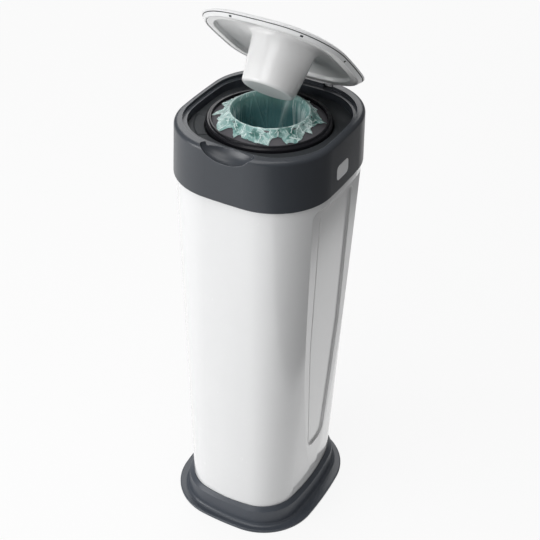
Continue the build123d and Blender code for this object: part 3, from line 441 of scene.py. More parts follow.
    def crinkle(self) -> bpy.types.NodeTree:
        """The flat facets of thin crumpled film, as a height and as a tone for each facet.

        Returns:
            The group, which puts out the height and the tone.
        """
        w, into, out = self.start(
            "Crinkle", (("Scale", "NodeSocketFloat", 95.0),),
            (("Height", "NodeSocketFloat"), ("Tone", "NodeSocketFloat")))
        place = w.place()
        bent = w.node("ShaderNodeTexNoise")
        w.link(place, bent.inputs["Vector"])
        bent.inputs["Scale"].default_value = 60.0
        moved = w.node("ShaderNodeVectorMath", operation="MULTIPLY_ADD")
        w.link(bent.outputs["Color"], moved.inputs[0])
        moved.inputs[1].default_value = (0.009, 0.009, 0.009)
        w.link(place, moved.inputs[2])
        height = 0.0
        tone = 0.0
        for factor, share in ((1.0, 0.6), (2.4, 0.4)):
            scale = w.math("MULTIPLY", into.outputs["Scale"], factor)
            cells = w.node("ShaderNodeTexVoronoi")
            w.link(moved.outputs[0], cells.inputs["Vector"])
            w.link(scale, cells.inputs["Scale"])
            local = w.node("ShaderNodeVectorMath", operation="SUBTRACT")
            w.link(moved.outputs[0], local.inputs[0])
            w.link(cells.outputs["Position"], local.inputs[1])
            tilt = w.node("ShaderNodeVectorMath", operation="SUBTRACT")
            w.link(cells.outputs["Color"], tilt.inputs[0])
            tilt.inputs[1].default_value = (0.5, 0.5, 0.5)
            slope = w.node("ShaderNodeVectorMath", operation="DOT_PRODUCT")
            w.link(local.outputs[0], slope.inputs[0])
            w.link(tilt.outputs[0], slope.inputs[1])
            rise = w.math("MULTIPLY", slope.outputs["Value"], scale)
            height = w.math("MULTIPLY_ADD", rise, share, height)
            split = w.node("ShaderNodeSeparateColor")
            w.link(cells.outputs["Color"], split.inputs[0])
            tone = w.math("MULTIPLY_ADD", split.outputs[0], share, tone)
        w.feed(out.inputs["Height"], height)
        w.feed(out.inputs["Tone"], tone)
        return w.tree

    def get(self, builder: str) -> bpy.types.NodeTree:
        """Finds a group, or builds it at its first use.

        Args:
            builder: the name of the method that builds the group.

        Returns:
            The group.
        """
        if builder not in self.made:
            self.made[builder] = getattr(self, builder)()
        return self.made[builder]

    def put(self, wiring: Wiring, builder: str, **values: object) -> bpy.types.Node:
        """Places a group in a material.

        Args:
            wiring: the material's wiring.
            builder: the name of the method that builds the group.
            values: the group's inputs, with _ for a space in a name.

        Returns:
            The group's node.
        """
        made = wiring.node("ShaderNodeGroup", node_tree=self.get(builder))
        for name, value in values.items():
            wiring.feed(made.inputs[name.replace("_", " ")], value)
        return made


@dataclass
class PaintShop:
    """Makes the bin's materials, one for each finish."""

    effects: Effects

    def blank(self, name: str) -> tuple[bpy.types.Material, Wiring, bpy.types.Node]:
        """A new material with a Principled shader and nothing else.

        Args:
            name: the material's name.

        Returns:
            The material, its wiring and its shader.
        """
        material = bpy.data.materials.new(name)
        material.use_nodes = True
        material.node_tree.nodes.clear()
        w = Wiring(material.node_tree)
        shader = w.node("ShaderNodeBsdfPrincipled")
        w.link(shader.outputs[0], w.node("ShaderNodeOutputMaterial").inputs["Surface"])
        return material, w, shader

    def mix_up(self, finish: Finish) -> bpy.types.Material:
        """Makes a finish's material.

        Args:
            finish: the finish.

        Returns:
            The material.
        """
        material, w, shader = self.blank(finish.slot)
        drift = self.effects.put(w, "colour_drift", Colour=(*finish.colour, 1),
                                 Amount=finish.drift)
        edges = self.effects.put(w, "soft_edges", Radius=finish.edge_radius)
        dust = self.effects.put(w, "dust", Amount=finish.dust)
        scuffs = self.effects.put(w, "scuffs", Amount=finish.scuffs)
        # Edges take the edge colour: wear, and on the collar painted highlight lines.
        edge_wear_and_highlight = w.math("MULTIPLY", edges.outputs["Mask"], finish.edge_wear_and_highlight_share)
        colour = w.mix(edge_wear_and_highlight, drift.outputs["Colour"], finish.edge_wear_and_highlight)
        colour = w.mix(dust.outputs["Mask"], colour, DUST_COLOUR)
        w.link(colour, shader.inputs["Base Color"])
        rough = w.math("MULTIPLY_ADD", scuffs.outputs["Mask"], 0.8, finish.roughness)
        rough = w.math("ADD", rough, dust.outputs["Mask"], clamp=True)
        w.link(rough, shader.inputs["Roughness"])
        texture = "drawn_lines" if finish.surface is Surface.METAL else "moulded_grain"
        grain = self.effects.put(w, texture, Scale=finish.grain_scale, Depth=finish.grain)
        bump = w.node("ShaderNodeBump")
        bump.inputs["Distance"].default_value = BUMP_DISTANCE
        bump.inputs["Strength"].default_value = BUMP_STRENGTH
        w.link(grain.outputs["Height"], bump.inputs["Height"])
        w.link(edges.outputs["Normal"], bump.inputs["Normal"])
        w.link(bump.outputs["Normal"], shader.inputs["Normal"])
        shader.inputs["Metallic"].default_value = 1.0 if finish.surface is Surface.METAL else 0.0
        shader.inputs["Coat Weight"].default_value = finish.coat
        shader.inputs["Coat Roughness"].default_value = finish.coat_roughness
        shader.inputs["Specular IOR Level"].default_value = finish.specular
        return material

    def film(self, finish: FilmFinish, axis: tuple[float, float], crest_z: float,
             crest_r: float) -> bpy.types.Material:
        """The thin teal film: painted shade darkens it down the throat; it is milky where it is
        bunched, with painted highlights on its folds, its crest and its left side.

        Args:
            finish: its colours and how clear it is.
            axis: where the throat's axis stands, in metres.
            crest_z: height of the film's crest, in metres.
            crest_r: radius of the crest line, in metres.

        Returns:
            The material.
        """
        material, w, shader = self.blank(finish.slot)
        split = w.node("ShaderNodeSeparateXYZ")
        place = w.place()
        w.link(place, split.inputs[0])
        dx = w.math("SUBTRACT", split.outputs["X"], axis[0])
        dy = w.math("SUBTRACT", split.outputs["Y"], axis[1])
        squares = w.math("ADD", w.math("MULTIPLY", dx, dx), w.math("MULTIPLY", dy, dy))
        radius = w.math("SQRT", squares)
        angle = w.math("ARCTAN2", dy, dx)
        depth = w.math("SUBTRACT", crest_z, split.outputs["Z"])
        inside = w.spread(w.math("SUBTRACT", crest_r, radius), -0.001, 0.003)
        outside = w.math("SUBTRACT", 1.0, inside)
        # Painted shade: this mask darkens the film down the throat, partly for the film over the
        # dark cassette.
        deep = w.math("MULTIPLY", w.spread(depth, 0.0, finish.deep_from), inside)
        crinkle = self.effects.put(w, "crinkle", Scale=finish.crinkle_scale)

        doubled = w.spread(w.noise(place, 48.0, detail=3, roughness=0.6), 0.5, 0.62)
        plain = self.effects.put(w, "colour_drift", Colour=(*finish.teal, 1),
                                 Amount=finish.drift, Scale=finish.drift_scale)
        colour = w.mix(w.math("MULTIPLY", doubled, outside), plain.outputs["Colour"],
                       finish.doubled)
        colour = w.mix(deep, colour, finish.throat)
        milk_and_highlight_mask = self.milk_and_highlights(w, place, dx, depth, deep, outside, crinkle.outputs["Tone"])
        colour = w.mix(w.math("MULTIPLY", milk_and_highlight_mask, finish.milk_and_highlight_share), colour, finish.milk_and_highlight_colour)
        w.link(colour, shader.inputs["Base Color"])

        clear = w.math("MULTIPLY_ADD", inside, finish.throat_alpha, finish.alpha)
        w.link(w.math("MULTIPLY_ADD", milk_and_highlight_mask, finish.milk_and_highlight_alpha, clear, clamp=True),
               shader.inputs["Alpha"])
        w.link(w.spread(doubled, 0.0, 1.0, *finish.gloss), shader.inputs["Roughness"])
        ripple = w.math("MULTIPLY", crinkle.outputs["Height"], outside)
        pleats = self.throat_pleats(w, angle, split.outputs["Z"])
        ripple = w.math("MULTIPLY_ADD", w.math("MULTIPLY", pleats, inside), 0.9, ripple)
        bump = w.node("ShaderNodeBump")
        bump.inputs["Distance"].default_value = finish.bump_distance
        bump.inputs["Strength"].default_value = finish.bump_strength
        w.link(ripple, bump.inputs["Height"])
        w.link(bump.outputs["Normal"], shader.inputs["Normal"])
        return material

    def milk_and_highlights(self, w: Wiring, place: bpy.types.NodeSocket, dx: bpy.types.NodeSocket,
                  depth: bpy.types.NodeSocket, deep: bpy.types.NodeSocket,
                  outside: bpy.types.NodeSocket,
                  tone: bpy.types.NodeSocket) -> bpy.types.NodeSocket:
        """A mask of where the film is bunched or folded and looks milky, with painted highlights on
        its folds, its crest and its left side.

        Args:
            w: the material's wiring.
            place: the film's own coordinates.
            dx: distance to the right of the throat's axis.
            depth: depth below the crest.
            deep: mask of the film deep in the throat, where shade is painted.
            outside: mask of the film outside the crest line.
            tone: tone of the crinkles' facets.

        Returns:
            The mask's socket.
        """
        # Folds are milky where the film is creased, and their pale streaks are also painted
        # highlights.
        folded = w.node("ShaderNodeAttribute", attribute_name="fold").outputs["Fac"]
        lines = w.spread(folded, 0.15, 0.75)
        pale = w.spread(tone, 0.55, 0.78)
        # Painted shade: milkiness and painted highlights fade down the throat.
        fade = w.math("MULTIPLY_ADD", deep, -0.35, 1.0)
        clouds_and_left_highlight = w.spread(w.noise(place, 26.0, detail=2), 0.46, 0.62)
        # Painted highlight: the film grows milkier towards the left of the axis, where the key
        # light falls.
        clouds_and_left_highlight = w.math("ADD", clouds_and_left_highlight, w.spread(dx, -0.06, -0.015, 0.7, 0.0), clamp=True)
        haze_and_highlight = w.math("MULTIPLY_ADD", clouds_and_left_highlight, 0.45, w.math("MULTIPLY", pale, 0.4))
        milk_and_highlight_mask = w.math("MULTIPLY_ADD", haze_and_highlight, outside, lines)
        broken = w.spread(w.noise(place, 110.0, detail=3), 0.35, 0.6, 0.2, 0.9)
        # The crest's broken bright line: bunched film, partly a painted highlight.
        near_crest = w.spread(w.math("ABSOLUTE", depth), 0.0, 0.0014, 1.0, 0.0)
        rim = w.math("MULTIPLY", near_crest, broken)
        return w.math("MAXIMUM", w.math("MULTIPLY", milk_and_highlight_mask, fade, clamp=True), rim)

    def throat_pleats(self, w: Wiring, angle: bpy.types.NodeSocket,
                      height: bpy.types.NodeSocket) -> bpy.types.NodeSocket:
        """Soft upright pleats in the throat, as a height.

        Args:
            w: the material's wiring.
            angle: the angle round the throat's axis.
            height: the height above the floor.

        Returns:
            The height's socket.
        """
        joined = w.node("ShaderNodeCombineXYZ")
        w.link(w.math("MULTIPLY", angle, 5.0), joined.inputs[0])
        w.link(w.math("MULTIPLY", height, 7.0), joined.inputs[1])
        return w.noise(joined.outputs[0], 2.0, detail=2, roughness=0.55)

    def dress_frame(self, film_finish: bpy.types.Material) -> None:
        """Gives every CAD node the material of its slot.

        Args:
            film_finish: the material of the slot film_teal.
        """
        made = {finish.slot: self.mix_up(finish) for finish in FINISHES}
        made[FilmFinish.slot] = film_finish
        for row in frame["record"]["subparts"]:
            node = frame["nodes"][row["node"]]
            for slot in node.material_slots:
                slot.material = made[row["material_slot"]]
            LOG.info("dressed %s as %s", row["node"], row["material_slot"])


def add_mesh(name: str, points: np.ndarray, faces: np.ndarray,
             material: bpy.types.Material) -> bpy.types.Object:
    """Makes a smooth mesh object at the origin.

    Args:
        name: the piece's name.
        points: vertices in metres.
        faces: corner indices of each face.
        material: its material.

    Returns:
        The new object.
    """
    mesh = bpy.data.meshes.new(name)
    mesh.from_pydata([tuple(p) for p in points], [], [tuple(f) for f in faces])
    mesh.materials.append(material)
    mesh.polygons.foreach_set("use_smooth", [True] * len(mesh.polygons))
    mesh.update()
    piece = bpy.data.objects.new(name, mesh)
    bpy.context.scene.collection.objects.link(piece)
    return piece


def ring_faces(rows: int, columns: int) -> np.ndarray:
    """Quads of a grid that closes on itself round the axis.

    Args:
        rows: points along the profile.
        columns: points round the axis.

    Returns:
        Four indices for each quad.
    """
    row, column = np.meshgrid(np.arange(rows - 1), np.arange(columns), indexing="ij")
    after = (column + 1) % columns
    corners = (row * columns + column, row * columns + after,
               (row + 1) * columns + after, (row + 1) * columns + column)
    return np.stack([c.ravel() for c in corners], axis=1)


# How far the film's torn edge reaches over the cap: degrees round the throat, millimetres.
TORN_EDGE = (
    (-180, 72), (-174, 66), (-170, 62), (-163, 61.5), (-160, 70), (-157, 76), (-154, 69),
    (-151, 62.5), (-147, 64), (-143, 69), (-138, 67.5), (-133, 71), (-128, 74), (-122, 76),
    (-119, 71), (-117, 64), (-113, 61), (-109, 62), (-105, 67), (-100, 73), (-98, 67),
    (-96, 64.5), (-92, 68), (-85, 69), (-78, 70.5), (-70, 72), (-62.5, 74.3), (-60.5, 66),
    (-58, 62.5), (-52, 61), (-47, 62.5), (-46, 68), (-44, 73), (-41, 70.5), (-38, 71),
    (-35, 75), (-30, 72.5), (-25, 70), (-22, 67), (-17, 64), (-14.5, 62), (-13, 66),
    (-10, 70), (-7, 66), (-5, 62.5), (2, 63), (8, 64), (12, 66), (15, 70), (18, 75.5),
    (20, 71), (24, 67), (30, 64), (38, 62), (42, 63), (45, 66), (48, 63), (55, 61.5),
    (62, 64), (66, 67), (68, 69), (71, 64), (78, 62), (84, 66), (90, 72), (94, 70),
    (98, 64), (106, 62), (112, 66), (118, 69), (123, 63), (130, 62), (136, 67), (143, 72),
    (149, 68), (153, 62.5), (160, 62), (165, 63.5), (170, 66.5), (175, 70), (180, 72),
)


@dataclass
class Cassette:
    """The film as it stands in the cassette, in millimetres."""

    axis_y: float = -3.0
    crest_r: float = 52.9
    crest_z: float = 656.4
    shoulder: tuple[float, float] = (59.1, 647.9)
    edge: tuple[float, float] = (75.7, 641.2)
    wall_top: tuple[float, float] = (49.5, 651.0)
    wall_low: tuple[float, float] = (47.2, 595.5)
    columns: int = 1100
    flap_rows: int = 26
    crest_rows: int = 30
    funnel_rows: int = 46
    tail_rows: int = 44
    fold_count: int = 330
    flat: tuple[float, float] = (0.34, 0.146)
    pleat_count: int = 47
    pleat_columns: int = 120
    pleat_inner_r: float = 53.2
    pleat_side_gap: float = 0.3
    pleat_end_gap: float = 0.4
    pleat_girth: float = 0.397
    seed: int = 5

    def creases(self, angle: np.ndarray, count: int, width: float, draw: np.random.Generator,
                lean: np.ndarray | float = 0.0) -> np.ndarray:
        """Sharp folds at uneven angles round the axis.

        Args:
            angle: angles, one per column.
            count: how many folds.
            width: half width of a fold, in radians.
            draw: source of the uneven places and depths.
            lean: how far the folds have drifted round at each row.

        Returns:
            A height from about 0 to 1 for each angle, or each row and angle.
        """
        spots = (np.arange(count) + draw.uniform(-0.4, 0.4, count)) * 2 * np.pi / count
        widths = width * draw.uniform(0.5, 1.6, count)
        depths = draw.uniform(0.25, 1.0, count)
        drift = draw.uniform(-1.0, 1.0, count)
        total = np.zeros(np.broadcast(angle, lean).shape)
        for spot, wide, depth, side in zip(spots, widths, depths, drift):
            gap = np.abs((angle - spot - lean * side + np.pi) % (2 * np.pi) - np.pi)
            total = np.maximum(total, depth * np.exp(-gap / wide))
        return total

    def waves(self, angle: np.ndarray, low: int, high: int, draw: np.random.Generator,
              rows: np.ndarray | float = 0.0) -> np.ndarray:
        """Soft uneven waves round the axis.

        Args:
            angle: angles, one per column.
            low: fewest waves round the axis.
            high: most waves round the axis.
            draw: source of the waves' phases.
            rows: how far each row shifts the waves.

        Returns:
            Values from about -1 to 1.
        """
        total = np.zeros(np.broadcast(angle, rows).shape)
        counts = range(low, high + 1)
        for count in counts:
            phase, shift = draw.uniform(0, 2 * np.pi), draw.uniform(-1, 1)
            total = total + np.cos(count * angle + phase + rows * shift * 3) * draw.uniform(0.4, 1)
        return total / math.sqrt(len(counts))

    def torn_edge(self, angle: np.ndarray, draw: np.random.Generator) -> np.ndarray:
        """How far out the film's torn edge reaches.

        Args:
            angle: angles, one per column.
            draw: source of what is uneven.

        Returns:
            A radius for each angle.
        """
        wander = np.degrees((angle + np.pi) % (2 * np.pi) - np.pi)
        wander = wander + 0.5 * self.waves(angle, 60, 90, draw)
        spots, reaches = np.array(TORN_EDGE).T
        reach = np.interp(wander, spots, reaches, period=360)
        notches = self.creases(angle, 60, 0.008, draw)
        return reach - 1.6 * notches * np.clip((reach - 61) / 6, 0, 1)

    def flaps(self, angle: np.ndarray, draw: np.random.Generator) -> tuple[np.ndarray, ...]:
        """The torn flaps that lie on the cap, from their edge in to the cap's shoulder.

        Args:
            angle: angles, one per column.
            draw: source of what is uneven.

        Returns:
            Radius, height and distance along the film for each row and column.
        """
        share = np.linspace(0, 1, self.flap_rows)[:, None]
        reach = self.torn_edge(angle, draw)
        radius = reach + (self.shoulder[0] + 0.6 - reach) * share
        cap = np.interp(radius, (self.shoulder[0], self.edge[0]), (self.shoulder[1], self.edge[1]))
        puff = self.waves(angle, 9, 24, draw, share)
        curl = np.clip((reach - 66) / 8, 0, 1) * (1 - share) ** 2
        return radius, cap + 0.45 + 0.35 * (puff + 1.2) + 1.2 * curl * (puff + 0.6), radius

    def crest(self, angle: np.ndarray, draw: np.random.Generator) -> tuple[np.ndarray, ...]:
        """The film's steep outer band, its thin crest and the start of the inner wall.

        Args:
            angle: angles, one per column.
            draw: source of what is uneven.

        Returns:
            Radius, height and distance along the film for each row and column.
        """
        share = np.linspace(0, 1, self.crest_rows)[:, None]
        marks = (0.0, 0.1, 0.55, 0.68, 0.74, 0.8, 1.0)
        radii = (59.6, 58.6, 53.9, self.crest_r, 52.3, 51.4, self.wall_top[0])
        heights = (648.6, 649.9, 655.2, self.crest_z, 656.5, 655.9, self.wall_top[1])
        radius = np.interp(share, marks, radii)
        height = np.interp(share, marks, heights)
        outer = np.interp(share, (0, 0.25, 0.6, 0.75, 1), (1.0, 1.0, 0.45, 0.1, 0.0))
        swell = outer * 0.4 * (self.waves(angle, 8, 22, draw, share) + 1.2)
        lumps = self.waves(angle, 3, 30, draw)
        line = np.interp(share, (0, 0.5, 0.72, 0.9, 1), (0, 0.5, 1, 0.5, 0))
        steps = np.hypot(np.diff(radius, axis=0), np.diff(height, axis=0))
        path = radius[0, 0] - np.vstack([np.zeros((1, 1)), np.cumsum(steps, axis=0)])
        return (radius + 0.8 * swell + 0.3 * line * lumps,
                height + 0.6 * swell + 0.5 * line * lumps, path + 0 * angle)

    def folds(self, angle: np.ndarray, path: np.ndarray, draw: np.random.Generator) -> np.ndarray:
        """Straight folds at all slants, as crumpled film has them.

        Args:
            angle: angles, one per column.
            path: distance along the film for each row and column.
            draw: source of the folds' places.

        Returns:
            A height from 0 to 1 for each row and column.
        """
        girth = 2 * np.pi * self.shoulder[0]
        total = np.zeros(path.shape)
        for _ in range(self.fold_count):
            spot, level = draw.uniform(0, girth), draw.uniform(path.min(), self.edge[0])
            slant, half = draw.normal(0.0, 0.75), draw.uniform(1.5, 7.5)
            wide, tall = draw.uniform(0.3, 0.75), draw.uniform(0.25, 1.0)
            side = (angle * self.shoulder[0] - spot + girth / 2) % girth - girth / 2
            rise = path - level
            lengthwise = side * math.sin(slant) + rise * math.cos(slant)
            across = side * math.cos(slant) - rise * math.sin(slant)
            beyond = np.maximum(np.abs(lengthwise) - half, 0)
            total = np.maximum(total, tall * np.exp(-np.hypot(across, beyond) / wide))
        return total

    def funnel(self, angle: np.ndarray, draw: np.random.Generator) -> tuple[np.ndarray, ...]:
        """The pleated wall of film down the funnel.

        Args:
            angle: angles, one per column.
            draw: source of what is uneven.

        Returns:
            Radius, height and sharpness of the pleats for each row and column.
        """
        share = np.linspace(0, 1, self.funnel_rows)[:, None]
        top_r, top_z = self.wall_top
        wall = top_r + (self.wall_low[0] - top_r) * share
        busy = np.interp(np.degrees(angle) % 360, (0, 40, 88, 104, 160, 172, 205, 230, 360),
                         (0.6, 1.0, 1.0, 0.4, 0.3, 1.0, 1.0, 0.6, 0.6))
        sharp = busy * self.creases(angle, 64, 0.022, draw, share * 0.35)
        broad = busy * self.creases(angle, 15, 0.1, draw, share * 0.3)
        slack = self.waves(angle, 3, 8, draw, share)
        grow = np.minimum(share * 6, 1)
        depth = grow * (2.2 * sharp + (0.5 + 3.0 * share) * broad)
        depth = depth + grow * (0.3 + 1.2 * share) * (slack + 1.2)
        # This pleat mask becomes the fold attribute, which the film material paints as milky
        # streaks and painted highlights.
        pale = np.maximum(sharp, 0.7 * broad) * np.minimum(share * 3 + 0.5, 1)
        return wall - depth, top_z + (self.wall_low[1] - top_z) * share + 0 * angle, pale

    def tail(self, angle: np.ndarray, draw: np.random.Generator) -> tuple[np.ndarray, np.ndarray]:
        """The film gathered through the fingers, its knot and its loose end.

        Args:
            angle: angles, one per column.
            draw: source of what is uneven.

        Returns:
            Radius and height for each row and column.
        """
        share = np.linspace(0, 1, self.tail_rows)[:, None]
        marks = (0, 0.12, 0.5, 0.62, 0.7, 0.74, 0.8, 0.84, 0.88, 1.0)
        radii = (44.5, 42.5, 11.0, 9.0, 4.6, 8.0, 8.0, 4.8, 4.6, 7.4)
        heights = (594.0, 589.0, 575.3, 572.0, 566.8, 565.0, 559.2, 557.4, 557.0, 548.8)
        radius = np.interp(share, marks, radii)
        height = np.interp(share, marks, heights)
        sharp = self.creases(angle, 26, 0.05, draw, share * 0.3)
        return radius * (1 - 0.22 * sharp), height + 0 * angle

    def placed(self, angle: np.ndarray, radius: np.ndarray, height: np.ndarray) -> np.ndarray:
        """Places points about the throat's axis.

        Args:
            angle: angles, one per column.
            radius: a radius for each row and column.
            height: a height for each row and column.

        Returns:
            The points in one list, in metres.
        """
        points = np.stack([radius * np.cos(angle), radius * np.sin(angle) + self.axis_y, height],
                          -1)
        return points.reshape(-1, 3) * MM

    def build_film(self, material: bpy.types.Material) -> bpy.types.Object:
        """Makes the film in one sheet.

        Args:
            material: the film's material.

        Returns:
            The film.
        """
        draw = np.random.default_rng(self.seed)
        angle = np.linspace(0, 2 * np.pi, self.columns, endpoint=False)[None, :]
        bands = [self.flaps(angle, draw), self.crest(angle, draw)]
        radius, height, path = (np.vstack([one, two[1:]]) for one, two in zip(*bands))
        fold = self.folds(angle, path, draw)
        steep = np.interp(path, (50.0, 52.0, 58.5, 60.5), (0.0, 0.85, 0.8, 0.0))
        lying = np.interp(path, (50.0, 52.0, 58.5, 60.5), (0.0, 0.4, 0.6, 1.0))
        radius, height = radius + 1.5 * fold * steep, height + 1.4 * fold * lying
        wall, tail = self.funnel(angle, draw), self.tail(angle, draw)
        radius = np.vstack([radius, wall[0][1:], tail[0][1:]])
        height = np.vstack([height, wall[1][1:], tail[1][1:]])
        fold = np.vstack([fold, wall[2][1:], 0 * tail[0][1:]])
        piece = add_mesh("film_sheet", self.placed(angle, radius, height),
                         ring_faces(*radius.shape), material)
        piece.data.attributes.new("fold", "FLOAT", "POINT").data.foreach_set("value", fold.ravel())
        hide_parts("film", "film_tail")
        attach(piece, "turntable")
        LOG.info("made %s", piece.name)
        return piece

    def build_pleats(self, material: bpy.types.Material) -> bpy.types.Object:
        """Makes the film that is stored in pleats in the cassette's tub.

        Args:
            material: the film's material.

        Returns:
            The pleated film.
        """
        low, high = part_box("film_pack")
        inner = self.pleat_inner_r
        outer = (high[0] - low[0]) / 2 / MM - self.pleat_side_gap
        angle = np.linspace(0, 2 * np.pi, self.pleat_columns, endpoint=False)[None, :]
        edges = self.pleat_count + 1
        side = (np.arange(edges) % 2)[:, None]
        radius = inner + (outer - inner) * side + 0 * angle
        height = np.linspace(low[2] / MM + self.pleat_end_gap,
                             high[2] / MM - self.pleat_end_gap, edges)[:, None] + 0 * angle
        piece = add_mesh("film_pleats", self.placed(angle, radius, height),
                         ring_faces(edges, self.pleat_columns), material)
        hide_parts("film_pack")
        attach(piece, "turntable")
        LOG.info("made %s", piece.name)
        return piece


@dataclass(frozen=True)
class BowedOutline:
    """A rounded rectangle with bowed sides, as the bin's mouldings have, in millimetres."""

    half_x: float
    half_y: float
    corner: float
    bow: float

    def at(self, angle: np.ndarray, inset: float) -> np.ndarray:
        """Points of the outline, drawn in by an inset.

        Args:
            angle: angles, one per column.
            inset: how far inside the outline.

        Returns:
            X and Y of each point round the outline's own centre.
        """
        reach_x, reach_y = self.half_x - 0.3 * self.corner, self.half_y - 0.3 * self.corner
        side_r = (reach_y**2 + self.bow**2) / (2 * self.bow)
        front_r = (reach_x**2 + self.bow**2) / (2 * self.bow)
        side, front = np.array([self.half_x - side_r, 0]), np.array([0, self.half_y - front_r])
        from_side, from_front = side_r - self.corner, front_r - self.corner
        span = math.hypot(side[0], front[1])
        along = (from_side**2 - from_front**2 + span**2) / (2 * span)
        off = math.sqrt(from_side**2 - along**2)
        ux, uy = -side[0] / span, front[1] / span
        corner = np.array([side[0] + ux * along - uy * off, uy * along + ux * off])
        ray = np.stack([np.abs(np.cos(angle)), np.abs(np.sin(angle))], -1)
        limits = []
        for centre, radius in ((side, side_r), (front, front_r), (corner, self.corner)):
            middle = ray @ centre
            room = middle**2 - centre @ centre + (radius - inset) ** 2
            limits.append(middle + np.sqrt(np.maximum(room, 0)))
        turn = np.arctan2(ray[:, 1] * limits[0] - side[1], ray[:, 0] * limits[0] - side[0])
        edge = math.atan2(corner[1] - side[1], corner[0] - side[0])
        on_side = turn < edge
        hit = ray * limits[1][:, None] - front
        on_front = np.arctan2(hit[:, 1], hit[:, 0]) > math.atan2(*(corner - front)[::-1])
        far = np.where(on_side, limits[0], np.where(on_front, limits[1], limits[2]))
        return np.stack([np.cos(angle) * far, np.sin(angle) * far], -1)


@dataclass
class DeckDish:
    """The dished cover between the turntable's ring and the collar's mouth, in millimetres."""

    mouth: BowedOutline = BowedOutline(98.0, 100.0, 70.0, 5.0)
    inset: float = 0.3
    inner_r: float = 85.0
    axis_y: float = -3.0
    inner_z: float = 631.5
    inner_rise: float = 7.0
    inner_skirt: float = 6.0
    back_z: float = 634.0
    front_rise: float = 9.0
    high_side: float = 50.0
    curve: float = 1.6
    crescent: tuple[float, float] = (195.0, 230.0)
    crescent_r: float = 98.0
    crescent_rise: float = 0.9
    groove_depth: float = 1.3
    columns: int = 720
    rows: int = 36

    def raised(self, flat: np.ndarray) -> np.ndarray:
        """How far the crescent at the left lifts each point of a ring.

        Args:
            flat: X and Y of each point.

        Returns:
            A height for each point, lowest in the groove round the crescent.
        """
        away = flat - (0, self.axis_y)
        turn = np.degrees(np.arctan2(away[:, 1], away[:, 0])) % 360
        reach = np.hypot(*away.T)
        start, end = self.crescent
        side = np.minimum(turn - start, end - turn) * math.radians(1) * self.crescent_r
        inside = np.minimum(side, self.crescent_r - reach)
        heights = (0, -self.groove_depth, -self.groove_depth, self.crescent_rise)
        return np.interp(inside, (-1.3, -0.7, 0.1, 0.7), heights)

    def build(self, material: bpy.types.Material) -> bpy.types.Object:
        """Makes the dish.

        Args:
            material: its material.

        Returns:
            The dish.
        """
        angle = np.linspace(0, 2 * np.pi, self.columns, endpoint=False)
        outer = self.mouth.at(angle, self.inset)
        inner = np.stack([np.cos(angle), np.sin(angle)], -1) * self.inner_r + (0, self.axis_y)
        near = np.clip(np.cos(angle + math.radians(self.high_side)) + 0.2, 0, 1)
        near = near**2 * (3 - 2 * near)
        edge_z = self.back_z + self.front_rise * near
        ring_z = self.inner_z + self.inner_rise * near
        rings = [np.column_stack([inner, ring_z - self.inner_skirt])]
        for share in np.linspace(0, 1, self.rows):
            flat = inner * (1 - share) + outer * share
            height = ring_z + (edge_z - ring_z) * share**self.curve + self.raised(flat)
            rings.append(np.column_stack([flat, height]))
        piece = add_mesh("deck_dish", np.array(rings).reshape(-1, 3) * MM,
                         ring_faces(len(rings), self.columns), material)
        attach(piece, "top_unit")
        LOG.info("made %s", piece.name)
        return piece


